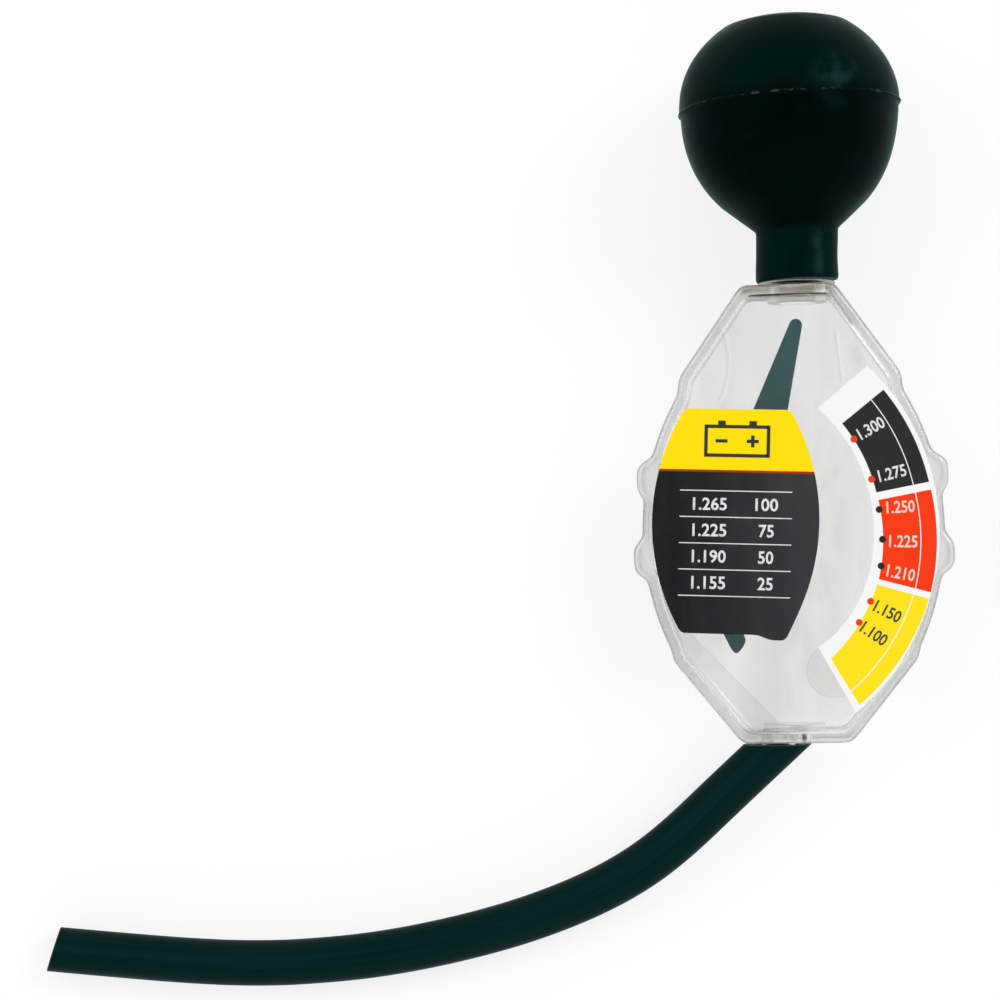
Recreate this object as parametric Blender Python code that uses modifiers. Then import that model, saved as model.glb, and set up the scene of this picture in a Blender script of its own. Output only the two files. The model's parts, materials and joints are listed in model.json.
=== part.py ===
# Battery hydrometer with a squeeze bulb, a clear welded case, a pivoted pointer and a suction hose.
# It lies face up on a table with the bulb towards +Y, as it was photographed.
import math

import bmesh
import bpy
import numpy as np
from mathutils import Matrix, Vector
from mathutils.geometry import convex_hull_2d

# Sizes are in metres. In the case's own frame X runs across, Y towards the bulb
# and Z out of the front face, and the origin lies in the seam between the covers.
gap = 0.0003                    # between pieces that touch
overrun = 0.003                 # how far a cutter reaches past what it cuts
merge_distance = 0.000001
round_sides = 32
small_sides = 20

# Clear case: a straight neck end, sides that bulge on one arc, and a straight foot end
case_depth = 0.018
case_wall = 0.0018
case_edge_radius = 0.0008
case_top = 0.0461
case_bottom = -0.0463
top_half_width = 0.0094
shoulder_half_width = 0.0222
shoulder_y = 0.0278
barrel_half_width = 0.0302
barrel_radius = 0.055
barrel_widest_y = -0.0036
barrel_top_y = 0.0243
barrel_bottom_y = -0.0274
hip_half_width = 0.0246
hip_y = -0.0293
bottom_half_width = 0.0109
top_corner_radius = 0.0008
bottom_corner_radius = 0.0022
blend_radius = 0.002
edge_segments = 3
corner_segments = 4
barrel_points = 4               # along each plain stretch of the barrel

# Grip lugs on both sides of the case
lug_centres_y = (0.0076, -0.00875)
lug_length = 0.0094
lug_height = 0.0021
lug_top_share = 0.62
lug_corner_radius = 0.0016

# Round recess moulded into the back cover's floor
mould_mark_x = 0.0077
mould_mark_y = -0.0328
mould_mark_radius = 0.0056
mould_mark_depth = 0.0003

# Spigot that carries the bulb
spigot_x = 0.0019
spigot_radius = 0.0053
spigot_bore_radius = 0.0036
spigot_reach = 0.0096           # above the case's top
spigot_chamfer = 0.0006
spigot_flange_radius = 0.006
spigot_flange_thickness = 0.0012
spigot_collar_radius = 0.0078
spigot_collar_thickness = 0.0006

# Rubber bulb, measured up and down from its parting ring
bulb_radius = 0.0224
bulb_wall = 0.0026
bulb_centre_height = 0.0364     # parting ring above the case's top
bulb_crown_height = 0.0191
bulb_crown_radius = 0.0126
bulb_crown_sag = 0.002
bulb_lower_height = 0.0256      # where the lower half would close if it had no neck
bulb_cone_start = 0.0195
bulb_neck_radius = 0.0083
bulb_neck_top = 0.0248
bulb_neck_flare = 0.0002
bulb_lean = math.radians(1.5)
ring_width = 0.001
ring_height = 0.00045
bulb_steps = 32
bulb_curve_points = 7
crown_points = 4

# Hose nipple, set at a slant in the case's bottom
nipple_x = -0.0035
nipple_angle = math.radians(-137.5)
nipple_radius = 0.0027
nipple_bore_radius = 0.0017
nipple_reach = 0.009
nipple_flange_length = 0.0125
nipple_flange_depth = 0.0085
nipple_flange_thickness = 0.0012

# Suction hose: its middle line lies in the world, on the table, chosen by hand
hose_radius = 0.0047
hose_bore_radius = 0.003
hose_point_spacing = 0.014
hose_outer_resolution = 4
hose_bore_resolution = 4
hose_route = (
    (0.0009, -0.06945, 0.00927),
    (-0.0057, -0.0755, 0.0086),
    (-0.01235, -0.08155, 0.00796),
    (-0.0169, -0.0857, 0.0075),
    (-0.0236, -0.0920, 0.0068),
    (-0.0300, -0.0972, 0.0061),
    (-0.0364, -0.1012, 0.0056),
    (-0.0433, -0.1046, 0.0052),
    (-0.0508, -0.1076, 0.0049),
    (-0.0585, -0.1102, 0.0048),
    (-0.0662, -0.1123, 0.00475),
    (-0.0739, -0.1141, 0.00475),
    (-0.0826, -0.1158, 0.00475),
    (-0.0924, -0.1172, 0.00475),
    (-0.1070, -0.1183, 0.00475),
    (-0.1183, -0.1183, 0.00475),
    (-0.1294, -0.1177, 0.00475),
    (-0.1432, -0.1166, 0.00475),
    (-0.1570, -0.1154, 0.00475),
)

# Pointer, measured along and across the line from its pivot to its tip
pivot_x = -0.021
pivot_y = -0.0035
pointer_angle = math.radians(62.5)
pointer_thickness = 0.0024
tip_place = (0.0474, -0.0007)
tip_radius = 0.0013
bend_place = (0.0276, -0.0064)
bend_radius = 0.0015
root_place = (0.0, -0.0042)
root_radius = 0.0019
hub_radius = 0.0046
hub_thickness = 0.0042
ballast_place = (0.005, -0.0065)
ballast_eye_radius = 0.0029
ballast_radius = 0.0017
ballast_length = 0.0038
swing_up = math.radians(6)
swing_down = math.radians(-112)

# Pivot pin and the bosses that hold it
pin_radius = 0.001
boss_radius = 0.0026
pin_floor = 0.0021              # plastic left between the pin's hole and the outer face

# Stop bracket round the back cover's boss, with its foot below the front label
bracket_thickness = 0.0018
bracket_ring_radius = 0.0062
bracket_arm_place = (0.0092, -0.0233)
bracket_arm_root_radius = 0.0032
bracket_arm_tip_radius = 0.0023
stop_post_radius = 0.001
stop_post_lift = 0.0006         # above the pointer's upper face
stop_ear_radius = 0.0012
upper_stop_along = 0.0088       # where along the pointer each post meets its edge
lower_stop_along = 0.0095
peg_radius = 0.0012
peg_share = 0.62                # how far along the arm the peg sits

# Printed labels on the front face
label_thickness = 0.0002
info_label_x = -0.0114
info_label_y = -0.0015
info_label_turn = math.radians(-2.5)
info_label_half_height = 0.02265
info_label_end_half_width = 0.0105
info_label_half_width = 0.01675
info_label_corner_radius = 0.0008
info_label_points = 9
scale_centre_x = -0.017
scale_centre_y = -0.0034
scale_inner_radius = 0.033
scale_outer_radius = 0.0461
scale_high_angle = math.radians(46.8)
scale_low_angle = math.radians(-50.9)
scale_points = 22

# Places that follow from the sizes above
half_depth = case_depth / 2
inner_half_depth = half_depth - case_wall
pin_half_length = half_depth - pin_floor - gap
hub_half = hub_thickness / 2
boss_end = hub_half + gap
label_floor = half_depth + gap
bulb_centre_y = case_top + bulb_centre_height
bulb_neck_end = bulb_centre_height - spigot_collar_thickness - 2 * gap
neck_bore_radius = spigot_radius + gap
bracket_floor = -inner_half_depth + gap
bracket_top = bracket_floor + bracket_thickness

# Colours, as linear values
clear_plastic = (0.82, 0.83, 0.82)
black_rubber = (0.006, 0.011, 0.012)
hose_rubber = (0.004, 0.016, 0.018)
dark_plastic = (0.022, 0.075, 0.078)
steel = (0.6, 0.6, 0.6)
brass = (0.62, 0.45, 0.2)
label_ink = (0.03, 0.03, 0.03)
label_paper = (0.85, 0.85, 0.85)


def new_collection(name):
    collection = bpy.data.collections.new(name)
    bpy.context.scene.collection.children.link(collection)
    return collection


def clear_scene():
    for old in list(bpy.data.objects):
        bpy.data.objects.remove(old, do_unlink=True)


clear_scene()
parts = new_collection("battery_hydrometer")
cutters = new_collection("cutters")


def add_empty(name, parent=None):
    empty = bpy.data.objects.new(name, None)
    empty.empty_display_size = hub_radius
    parts.objects.link(empty)
    empty.parent = parent
    return empty


def add_object(name, data, parent, is_cutter=False):
    obj = bpy.data.objects.new(name, data)
    if is_cutter:
        cutters.objects.link(obj)
        obj.hide_render = True
        obj.display_type = "WIRE"
    else:
        parts.objects.link(obj)
    obj.parent = parent
    return obj


def mesh_from(bm, name):
    mesh = bpy.data.meshes.new(name)
    bm.to_mesh(mesh)
    bm.free()
    return mesh


def mesh_of_curve(curve, name):
    # A curve's evaluated surface as a mesh, with its loose caps welded and its flat ends made whole
    source = bpy.data.objects.new(name + "_curve", curve)
    bpy.context.scene.collection.objects.link(source)
    bpy.context.view_layer.update()
    graph = bpy.context.evaluated_depsgraph_get()
    mesh = bpy.data.meshes.new_from_object(source.evaluated_get(graph))
    bpy.data.objects.remove(source, do_unlink=True)
    bm = bmesh.new()
    bm.from_mesh(mesh)
    bmesh.ops.remove_doubles(bm, verts=bm.verts, dist=merge_distance)
    bmesh.ops.dissolve_limit(bm, angle_limit=math.radians(0.2), verts=bm.verts, edges=bm.edges)
    bmesh.ops.recalc_face_normals(bm, faces=bm.faces)
    bm.to_mesh(mesh)
    bm.free()
    mesh.name = name
    mesh.materials.clear()
    return mesh


def slab_mesh(name, outline, low, high):
    # A flat outline with the thickness from low to high
    curve = bpy.data.curves.new(name, "CURVE")
    curve.dimensions = "2D"
    curve.fill_mode = "BOTH"
    curve.extrude = (high - low) / 2
    spline = curve.splines.new("POLY")
    spline.points.add(len(outline) - 1)
    for point, (x, y) in zip(spline.points, outline):
        point.co = (x, y, 0, 1)
    spline.use_cyclic_u = True
    mesh = mesh_of_curve(curve, name)
    mesh.transform(Matrix.Translation((0, 0, (high + low) / 2)))
    return mesh


def cylinder_mesh(name, radius, low, high, sides=small_sides):
    bm = bmesh.new()
    bmesh.ops.create_cone(bm, cap_ends=True, segments=sides, radius1=radius, radius2=radius, depth=high - low)
    bmesh.ops.translate(bm, verts=bm.verts, vec=(0, 0, (high + low) / 2))
    return mesh_from(bm, name)


def box_mesh(name, size, centre):
    bm = bmesh.new()
    bmesh.ops.create_cube(bm, size=1)
    bmesh.ops.scale(bm, verts=bm.verts, vec=size)
    bmesh.ops.translate(bm, verts=bm.verts, vec=centre)
    return mesh_from(bm, name)


def turned(name, profile, closed, parent, steps=round_sides):
    # A profile of (radius, height) turned about Z; it runs down the outer side and back up the bore
    count = len(profile)
    edges = [(index, index + 1) for index in range(count - 1)]
    if closed:
        edges.append((count - 1, 0))
    mesh = bpy.data.meshes.new(name)
    mesh.from_pydata([(radius, 0, height) for radius, height in profile], edges, [])
    obj = add_object(name, mesh, parent)
    screw = obj.modifiers.new("turn", "SCREW")
    screw.steps = steps
    screw.render_steps = steps
    screw.use_merge_vertices = True
    screw.merge_threshold = merge_distance
    screw.use_smooth_shade = True
    return obj


def boolean(target, other, operation):
    modifier = target.modifiers.new(other.name, "BOOLEAN")
    modifier.operation = operation
    modifier.object = other
    modifier.solver = "EXACT"


def cut(target, other):
    boolean(target, other, "DIFFERENCE")


def join(target, other):
    boolean(target, other, "UNION")


def finish(obj, colour, roughness, metallic=0, alpha=1):
    # Each part has a material of its own; round sides are shaded smooth
    material = bpy.data.materials.new(obj.name)
    material.use_nodes = True
    shader = material.node_tree.nodes["Principled BSDF"]
    shader.inputs["Base Color"].default_value = (*colour, 1)
    shader.inputs["Roughness"].default_value = roughness
    shader.inputs["Metallic"].default_value = metallic
    shader.inputs["Alpha"].default_value = alpha
    material.diffuse_color = (*colour, alpha)
    obj.data.materials.append(material)
    obj.data.shade_smooth()
    obj.data.set_sharp_from_angle(angle=math.radians(35))
    return obj


def polar(radius, angle):
    return Vector((radius * math.cos(angle), radius * math.sin(angle)))


def arc_points(radius, start, end, count):
    angles = np.linspace(start, end, count)
    return [tuple(polar(radius, angle)) for angle in angles]


def round_corners(corners):
    # A closed outline of (x, y, radius): each corner with a radius becomes an arc
    outline = []
    count = len(corners)
    for index, (x, y, radius) in enumerate(corners):
        here = Vector((x, y))
        if not radius:
            outline.append((x, y))
            continue
        back = Vector(corners[index - 1][:2]) - here
        ahead = Vector(corners[(index + 1) % count][:2]) - here
        half_angle = back.angle(ahead) / 2
        reach = min(radius / math.tan(half_angle), back.length / 2, ahead.length / 2)
        fitted = reach * math.tan(half_angle)
        bisector = (back.normalized() + ahead.normalized()).normalized()
        centre = here + bisector * (fitted / math.sin(half_angle))
        start = here + back.normalized() * reach - centre
        end = here + ahead.normalized() * reach - centre
        for step in range(corner_segments + 1):
            spoke = start.lerp(end, step / corner_segments).normalized() * fitted
            outline.append(tuple(centre + spoke))
    return outline


def inset(corners, distance):
    # The same outline moved inwards by a wall; its corners run clockwise
    moved = []
    count = len(corners)
    for index, (x, y, radius) in enumerate(corners):
        here = Vector((x, y))
        before = (here - Vector(corners[index - 1][:2])).normalized()
        after = (Vector(corners[(index + 1) % count][:2]) - here).normalized()
        inward = Vector((before.y + after.y, -before.x - after.x)).normalized()
        depth = distance / inward.dot(Vector((after.y, -after.x)))
        moved.append((*(here + inward * depth), radius))
    return moved


def barrel_width_at(y):
    offset = y - barrel_widest_y
    return barrel_half_width - barrel_radius + math.sqrt(barrel_radius ** 2 - offset ** 2)


def case_corners(with_lugs):
    # The right side from the top to the bottom, then the same side mirrored back up
    side = [(top_half_width, case_top, top_corner_radius)]
    side.append((shoulder_half_width, shoulder_y, blend_radius))
    stretch_start = barrel_top_y
    if with_lugs:
        for centre_y in lug_centres_y:
            lug_start = centre_y + lug_length / 2
            lug_end = centre_y - lug_length / 2
            lug_flat = lug_top_share * lug_length / 2
            for y in np.linspace(stretch_start, lug_start, barrel_points):
                side.append((barrel_width_at(y), y, 0))
            for y in (centre_y + lug_flat, centre_y - lug_flat):
                side.append((barrel_width_at(centre_y) + lug_height, y, lug_corner_radius))
            stretch_start = lug_end
    for y in np.linspace(stretch_start, barrel_bottom_y, barrel_points * 2):
        side.append((barrel_width_at(y), y, 0))
    side.append((hip_half_width, hip_y, 0))
    side.append((bottom_half_width, case_bottom, bottom_corner_radius))
    mirrored = [(-x, y, radius) for x, y, radius in reversed(side)]
    return side + mirrored


def round_rim(mesh, height, radius):
    bm = bmesh.new()
    bm.from_mesh(mesh)
    rim = [edge for edge in bm.edges if all(abs(vert.co.z - height) < merge_distance for vert in edge.verts)]
    bmesh.ops.bevel(bm, geom=rim, offset=radius, segments=edge_segments, profile=0.5, affect="EDGES")
    bm.to_mesh(mesh)
    bm.free()


def hull_outline(circles):
    # The outline of a belt drawn tight round circles given as (x, y, radius)
    points = []
    for x, y, radius in circles:
        spokes = arc_points(radius, 0, math.tau * (1 - 1 / small_sides), small_sides)
        points += [(x + spoke_x, y + spoke_y) for spoke_x, spoke_y in spokes]
    return [points[index] for index in convex_hull_2d(points)]


def make_covers(frame):
    # Two shells that meet at the seam; one outline, one hollow and one set of holes serve both
    hollow_corners = inset(case_corners(False), case_wall)
    hollow = slab_mesh("case_hollow", round_corners(hollow_corners), -inner_half_depth, inner_half_depth)
    hollow = add_object("case_hollow", hollow, frame, True)
    spigot_hole = cylinder_mesh("spigot_hole", spigot_radius + gap, -overrun, case_wall + overrun, round_sides)
    spigot_hole = add_object("spigot_hole", spigot_hole, frame, True)
    spigot_hole.location = (spigot_x, case_top + overrun - gap, 0)
    spigot_hole.rotation_euler.x = math.pi / 2
    nipple_hole = cylinder_mesh("nipple_hole", nipple_radius + gap, -3 * case_wall, 3 * case_wall)
    nipple_hole = add_object("nipple_hole", nipple_hole, frame, True)
    set_along_nipple(nipple_hole)
    pin_hole_end = half_depth - pin_floor
    pin_hole = cylinder_mesh("pin_hole", pin_radius + gap, -pin_hole_end, pin_hole_end)
    pin_hole = add_object("pin_hole", pin_hole, frame, True)
    pin_hole.location = (pivot_x, pivot_y, 0)
    covers = []
    for name, turn, side in (("front_cover", 0, 1), ("back_cover", math.pi, -1)):
        mesh = slab_mesh(name, round_corners(case_corners(True)), gap / 2, half_depth)
        round_rim(mesh, half_depth, case_edge_radius)
        cover = add_object(name, mesh, frame)
        cover.rotation_euler.y = turn
        boss = cylinder_mesh(name + "_boss", boss_radius, boss_end, half_depth - case_wall / 2)
        boss = add_object(name + "_boss", boss, frame, True)
        boss.location = (pivot_x, pivot_y, 0)
        boss.rotation_euler.y = turn
        cut(cover, hollow)
        join(cover, boss)
        cut(cover, pin_hole)
        cut(cover, spigot_hole)
        cut(cover, nipple_hole)
        finish(cover, clear_plastic, 0.12, alpha=0.3)
        covers.append(cover)
    back_cover = covers[1]
    peg = cylinder_mesh("bracket_peg", peg_radius, -half_depth + case_wall / 2, bracket_top - gap)
    peg = add_object("bracket_peg", peg, frame, True)
    peg.location = (*peg_place(), 0)
    join(back_cover, peg)
    mark_floor = -inner_half_depth - mould_mark_depth
    mark = cylinder_mesh("mould_mark", mould_mark_radius, mark_floor, mark_floor + overrun, round_sides)
    mark = add_object("mould_mark", mark, frame, True)
    mark.location = (mould_mark_x, mould_mark_y, 0)
    cut(back_cover, mark)
    return covers


def make_spigot(frame):
    top = spigot_reach
    collar_top = spigot_collar_thickness + gap
    flange_top = -case_wall - gap
    flange_bottom = flange_top - spigot_flange_thickness
    profile = [
        (spigot_bore_radius, top),
        (spigot_radius - spigot_chamfer, top),
        (spigot_radius, top - spigot_chamfer),
        (spigot_radius, collar_top),
        (spigot_collar_radius, collar_top),
        (spigot_collar_radius, gap),
        (spigot_radius, gap),
        (spigot_radius, flange_top),
        (spigot_flange_radius, flange_top),
        (spigot_flange_radius, flange_bottom),
        (spigot_bore_radius, flange_bottom),
    ]
    spigot = turned("bulb_spigot", profile, True, frame)
    spigot.location = (spigot_x, case_top, 0)
    spigot.rotation_euler.x = -math.pi / 2
    return finish(spigot, clear_plastic, 0.15, alpha=0.3)


def ellipse_run(radius, height, start_share, end_share, count):
    # Points (radius, height) on a quarter ellipse; the shares are of its height
    heights = np.linspace(start_share, end_share, count)
    return [(radius * math.sqrt(1 - share ** 2), height * share) for share in heights]


def make_bulb(frame):
    # Heights are measured from the parting ring; the lower half is drawn with negative heights
    corner_height = bulb_crown_height - bulb_crown_sag
    upper_height = corner_height / math.sqrt(1 - (bulb_crown_radius / bulb_radius) ** 2)
    ring_share = ring_width / 2 / upper_height
    crown_shares = np.linspace(0, 1, crown_points, endpoint=False)
    outer = [(bulb_crown_radius * share, bulb_crown_height - bulb_crown_sag * share ** 2)
             for share in crown_shares]
    outer += ellipse_run(bulb_radius, upper_height, corner_height / upper_height, ring_share, bulb_curve_points)
    outer += [(bulb_radius + ring_height, ring_width / 4), (bulb_radius + ring_height, -ring_width / 4)]
    ring_share = ring_width / 2 / bulb_lower_height
    cone_share = bulb_cone_start / bulb_lower_height
    outer += ellipse_run(bulb_radius, -bulb_lower_height, ring_share, cone_share, bulb_curve_points)
    outer += [
        (bulb_neck_radius, -bulb_neck_top),
        (bulb_neck_radius, (-bulb_neck_top - bulb_neck_end) / 2),
        (bulb_neck_radius + bulb_neck_flare, -bulb_neck_end),
    ]
    inner_radius = bulb_radius - bulb_wall
    inner_lower = bulb_lower_height - bulb_wall
    inner_upper = bulb_crown_height - bulb_wall
    mouth_share = math.sqrt(1 - (neck_bore_radius / inner_radius) ** 2)
    inner = [(neck_bore_radius, -bulb_neck_end)]
    inner += ellipse_run(inner_radius, -inner_lower, mouth_share, 0, bulb_curve_points)
    inner += ellipse_run(inner_radius, inner_upper, 1 / bulb_curve_points, 1, bulb_curve_points)
    bulb = turned("bulb", outer + inner, False, frame, bulb_steps)
    neck_middle = case_top + spigot_reach / 2
    lean = Matrix.Rotation(bulb_lean, 4, "Z")
    centre = Vector((spigot_x, neck_middle, 0)) + lean @ Vector((0, bulb_centre_y - neck_middle, 0))
    bulb.location = centre
    bulb.rotation_euler = (lean @ Matrix.Rotation(-math.pi / 2, 4, "X")).to_euler()
    return finish(bulb, black_rubber, 0.45)


def set_along_nipple(obj):
    # Puts an object's own Z on the nipple's axis, with its origin in the bottom's outer face
    obj.location = (nipple_x, case_bottom, 0)
    obj.rotation_euler = (math.pi / 2, 0, nipple_angle + math.pi / 2)


def make_nipple(frame):
    # A flat flange inside the bottom wall, with a slanting tube through the wall
    flange_low = case_bottom + case_wall + gap
    flange_high = flange_low + nipple_flange_thickness
    size = (nipple_flange_length, nipple_flange_thickness, nipple_flange_depth)
    rise = (flange_low + flange_high) / 2 - case_bottom
    crossing_x = nipple_x + rise / math.tan(nipple_angle)
    centre = (crossing_x, (flange_low + flange_high) / 2, 0)
    nipple = add_object("hose_nipple", box_mesh("hose_nipple", size, centre), frame)
    tube = cylinder_mesh("nipple_tube", nipple_radius, -nipple_reach, 2 * case_wall + flange_high - flange_low)
    tube = add_object("nipple_tube", tube, frame, True)
    bore = cylinder_mesh("nipple_bore", nipple_bore_radius, -nipple_reach - overrun, nipple_reach)
    bore = add_object("nipple_bore", bore, frame, True)
    trim_size = (2 * nipple_flange_length, nipple_reach, 2 * nipple_flange_depth)
    trim_centre = (crossing_x, flange_high + nipple_reach / 2, 0)
    trim = add_object("nipple_trim", box_mesh("nipple_trim", trim_size, trim_centre), frame, True)
    set_along_nipple(tube)
    set_along_nipple(bore)
    join(nipple, tube)
    cut(nipple, trim)
    cut(nipple, bore)
    return finish(nipple, clear_plastic, 0.15, alpha=0.3)


def smooth_route(points, spacing):
    # A Catmull-Rom curve through the points, read off at equal lengths
    knots = np.array(points)
    padded = np.vstack([2 * knots[0] - knots[1], knots, 2 * knots[-1] - knots[-2]])
    shares = np.linspace(0, 1, 12, endpoint=False)[:, None]
    runs = []
    for before, start, end, after in zip(padded, padded[1:], padded[2:], padded[3:]):
        linear = (end - before) * shares
        square = (2 * before - 5 * start + 4 * end - after) * shares ** 2
        cube = (3 * start - before - 3 * end + after) * shares ** 3
        runs.append(start + (linear + square + cube) / 2)
    fine = np.vstack(runs + [knots[-1:]])
    lengths = np.concatenate([[0], np.cumsum(np.linalg.norm(np.diff(fine, axis=0), axis=1))])
    count = round(lengths[-1] / spacing) + 1
    marks = np.linspace(0, lengths[-1], count)
    return np.column_stack([np.interp(marks, lengths, fine[:, axis]) for axis in range(3)])


def tube_mesh(name, route, radius, resolution, reach=0):
    # A round tube along the route; reach lengthens both its ends
    path = np.array(route)
    path[0] += (path[0] - path[1]) / np.linalg.norm(path[0] - path[1]) * reach
    path[-1] += (path[-1] - path[-2]) / np.linalg.norm(path[-1] - path[-2]) * reach
    curve = bpy.data.curves.new(name, "CURVE")
    curve.dimensions = "3D"
    curve.bevel_depth = radius
    curve.bevel_resolution = resolution
    curve.use_fill_caps = True
    spline = curve.splines.new("POLY")
    spline.points.add(len(path) - 1)
    for point, place in zip(spline.points, path):
        point.co = (*place, 1)
    return mesh_of_curve(curve, name)


def make_hose(frame):
    # Pushed over the nipple, with its end cut at a slant to sit flat on the case's bottom
    route = smooth_route(hose_route, hose_point_spacing)
    hose = tube_mesh("hose", route, hose_radius, hose_outer_resolution)
    hose = add_object("hose", hose, None)
    bore = tube_mesh("hose_bore", route, hose_bore_radius, hose_bore_resolution, overrun)
    bore = add_object("hose_bore", bore, None, True)
    mitre_size = (8 * hose_radius, 8 * hose_radius, 8 * hose_radius)
    mitre_centre = (nipple_x, case_bottom - gap + 4 * hose_radius, 0)
    mitre = add_object("hose_mitre", box_mesh("hose_mitre", mitre_size, mitre_centre), frame, True)
    cut(hose, bore)
    cut(hose, mitre)
    return finish(hose, hose_rubber, 0.4)


def pointer_outline():
    circles = [
        (*tip_place, tip_radius),
        (*bend_place, bend_radius),
        (*ballast_place, ballast_eye_radius),
        (*root_place, root_radius),
    ]
    return hull_outline(circles)


def make_pointer(axis):
    # A flat blade joined to a hub and to the eye that holds the ballast
    half = pointer_thickness / 2
    needle = add_object("needle", slab_mesh("needle", pointer_outline(), -half, half), axis)
    hub = add_object("hub", cylinder_mesh("hub", hub_radius, -hub_half, hub_half, round_sides), axis, True)
    eye = cylinder_mesh("ballast_eye", ballast_eye_radius, -hub_half, hub_half)
    eye = add_object("ballast_eye", eye, axis, True)
    eye_hole = cylinder_mesh("ballast_hole", ballast_radius + gap, -hub_thickness, hub_thickness)
    eye_hole = add_object("ballast_hole", eye_hole, axis, True)
    pin_bore = cylinder_mesh("hub_bore", pin_radius + gap, -hub_thickness, hub_thickness)
    pin_bore = add_object("hub_bore", pin_bore, axis, True)
    eye.location = (*ballast_place, 0)
    eye_hole.location = (*ballast_place, 0)
    join(needle, hub)
    join(needle, eye)
    cut(needle, eye_hole)
    cut(needle, pin_bore)
    finish(needle, dark_plastic, 0.35)
    ballast_half = ballast_length / 2
    ballast = cylinder_mesh("needle_ballast", ballast_radius, -ballast_half, ballast_half)
    ballast = add_object("needle_ballast", ballast, axis)
    ballast.location = (*ballast_place, 0)
    finish(ballast, brass, 0.3, metallic=1)
    return needle, ballast


def make_pin(frame):
    pin = cylinder_mesh("pivot_pin", pin_radius, -pin_half_length, pin_half_length)
    pin = add_object("pivot_pin", pin, frame)
    pin.location = (pivot_x, pivot_y, 0)
    return finish(pin, steel, 0.25, metallic=1)


def peg_place():
    return Vector((pivot_x, pivot_y)) + peg_share * Vector(bracket_arm_place)


def stop_place(along, swing, side):
    # A post beside the blade's edge, touched when the pointer has swung to its limit on that side
    outline = pointer_outline()
    edges = []
    for (x1, y1), (x2, y2) in zip(outline, outline[1:] + outline[:1]):
        if min(x1, x2) <= along < max(x1, x2):
            edges.append(side * (y1 + (y2 - y1) * (along - x1) / (x2 - x1)))
    beside = Vector((along, side * (max(edges) + stop_post_radius + 2 * gap)))
    beside.rotate(Matrix.Rotation(pointer_angle + swing, 2))
    return beside


def make_bracket(frame):
    # A ring round the back boss, an arm down to the foot, and two posts that stop the pointer
    centre = Vector((pivot_x, pivot_y, 0))
    arm_circles = [(0, 0, bracket_arm_root_radius), (*bracket_arm_place, bracket_arm_tip_radius)]
    arm_mesh = slab_mesh("stop_bracket", hull_outline(arm_circles), bracket_floor, bracket_top)
    bracket = add_object("stop_bracket", arm_mesh, frame)
    bracket.location = centre
    ring = cylinder_mesh("bracket_ring", bracket_ring_radius, bracket_floor, bracket_top, round_sides)
    ring = add_object("bracket_ring", ring, frame, True)
    ring.location = centre
    join(bracket, ring)
    post_top = pointer_thickness / 2 + stop_post_lift
    upper_stop = stop_place(upper_stop_along, swing_up, 1)
    lower_stop = stop_place(lower_stop_along, swing_down, -1)
    for name, place in (("upper_stop", upper_stop), ("lower_stop", lower_stop)):
        ear_circles = [(0, 0, bracket_arm_root_radius), (*place, stop_ear_radius)]
        ear = slab_mesh(name + "_ear", hull_outline(ear_circles), bracket_floor, bracket_top)
        ear = add_object(name + "_ear", ear, frame, True)
        ear.location = centre
        post = cylinder_mesh(name + "_post", stop_post_radius, bracket_top - bracket_thickness / 2, post_top)
        post = add_object(name + "_post", post, frame, True)
        post.location = centre + place.to_3d()
        join(bracket, ear)
        join(bracket, post)
    boss_hole = cylinder_mesh("bracket_bore", boss_radius + gap, bracket_floor - overrun, bracket_top + overrun)
    boss_hole = add_object("bracket_bore", boss_hole, frame, True)
    boss_hole.location = centre
    peg_hole = cylinder_mesh("peg_hole", peg_radius + gap, bracket_floor - overrun, bracket_top + overrun)
    peg_hole = add_object("peg_hole", peg_hole, frame, True)
    peg_hole.location = (*peg_place(), 0)
    cut(bracket, boss_hole)
    cut(bracket, peg_hole)
    return finish(bracket, dark_plastic, 0.35)


def info_label_corners():
    # A barrel shape: straight ends and sides bulging on one arc
    bulge = info_label_half_width - info_label_end_half_width
    radius = (info_label_half_height ** 2 + bulge ** 2) / (2 * bulge)
    half_angle = math.asin(info_label_half_height / radius)
    right = []
    for angle in np.linspace(half_angle, -half_angle, info_label_points):
        x, y = polar(radius, angle)
        right.append([x - radius + info_label_half_width, y, 0])
    right[0][2] = info_label_corner_radius
    right[-1][2] = info_label_corner_radius
    left = [(-x, y, corner) for x, y, corner in reversed(right)]
    return right + left


def make_labels(frame):
    label_top = label_floor + label_thickness
    outline = round_corners(info_label_corners())
    info = add_object("info_label", slab_mesh("info_label", outline, label_floor, label_top), frame)
    info.location = (info_label_x, info_label_y, 0)
    info.rotation_euler.z = info_label_turn
    finish(info, label_ink, 0.25)
    outer = arc_points(scale_outer_radius, scale_high_angle, scale_low_angle, scale_points)
    inner = arc_points(scale_inner_radius, scale_low_angle, scale_high_angle, scale_points)
    scale = slab_mesh("scale_label", outer + inner, label_floor, label_top)
    scale = add_object("scale_label", scale, frame)
    scale.location = (scale_centre_x, scale_centre_y, 0)
    finish(scale, label_paper, 0.3)
    return info, scale


def points_of(objects):
    bpy.context.view_layer.update()
    graph = bpy.context.evaluated_depsgraph_get()
    clouds = []
    for obj in objects:
        evaluated = obj.evaluated_get(graph)
        mesh = evaluated.to_mesh()
        flat = np.empty(len(mesh.vertices) * 3)
        mesh.vertices.foreach_get("co", flat)
        evaluated.to_mesh_clear()
        matrix = np.array(evaluated.matrix_world)
        clouds.append(flat.reshape(-1, 3) @ matrix[:3, :3].T + matrix[:3, 3])
    return np.vstack(clouds)


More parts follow.
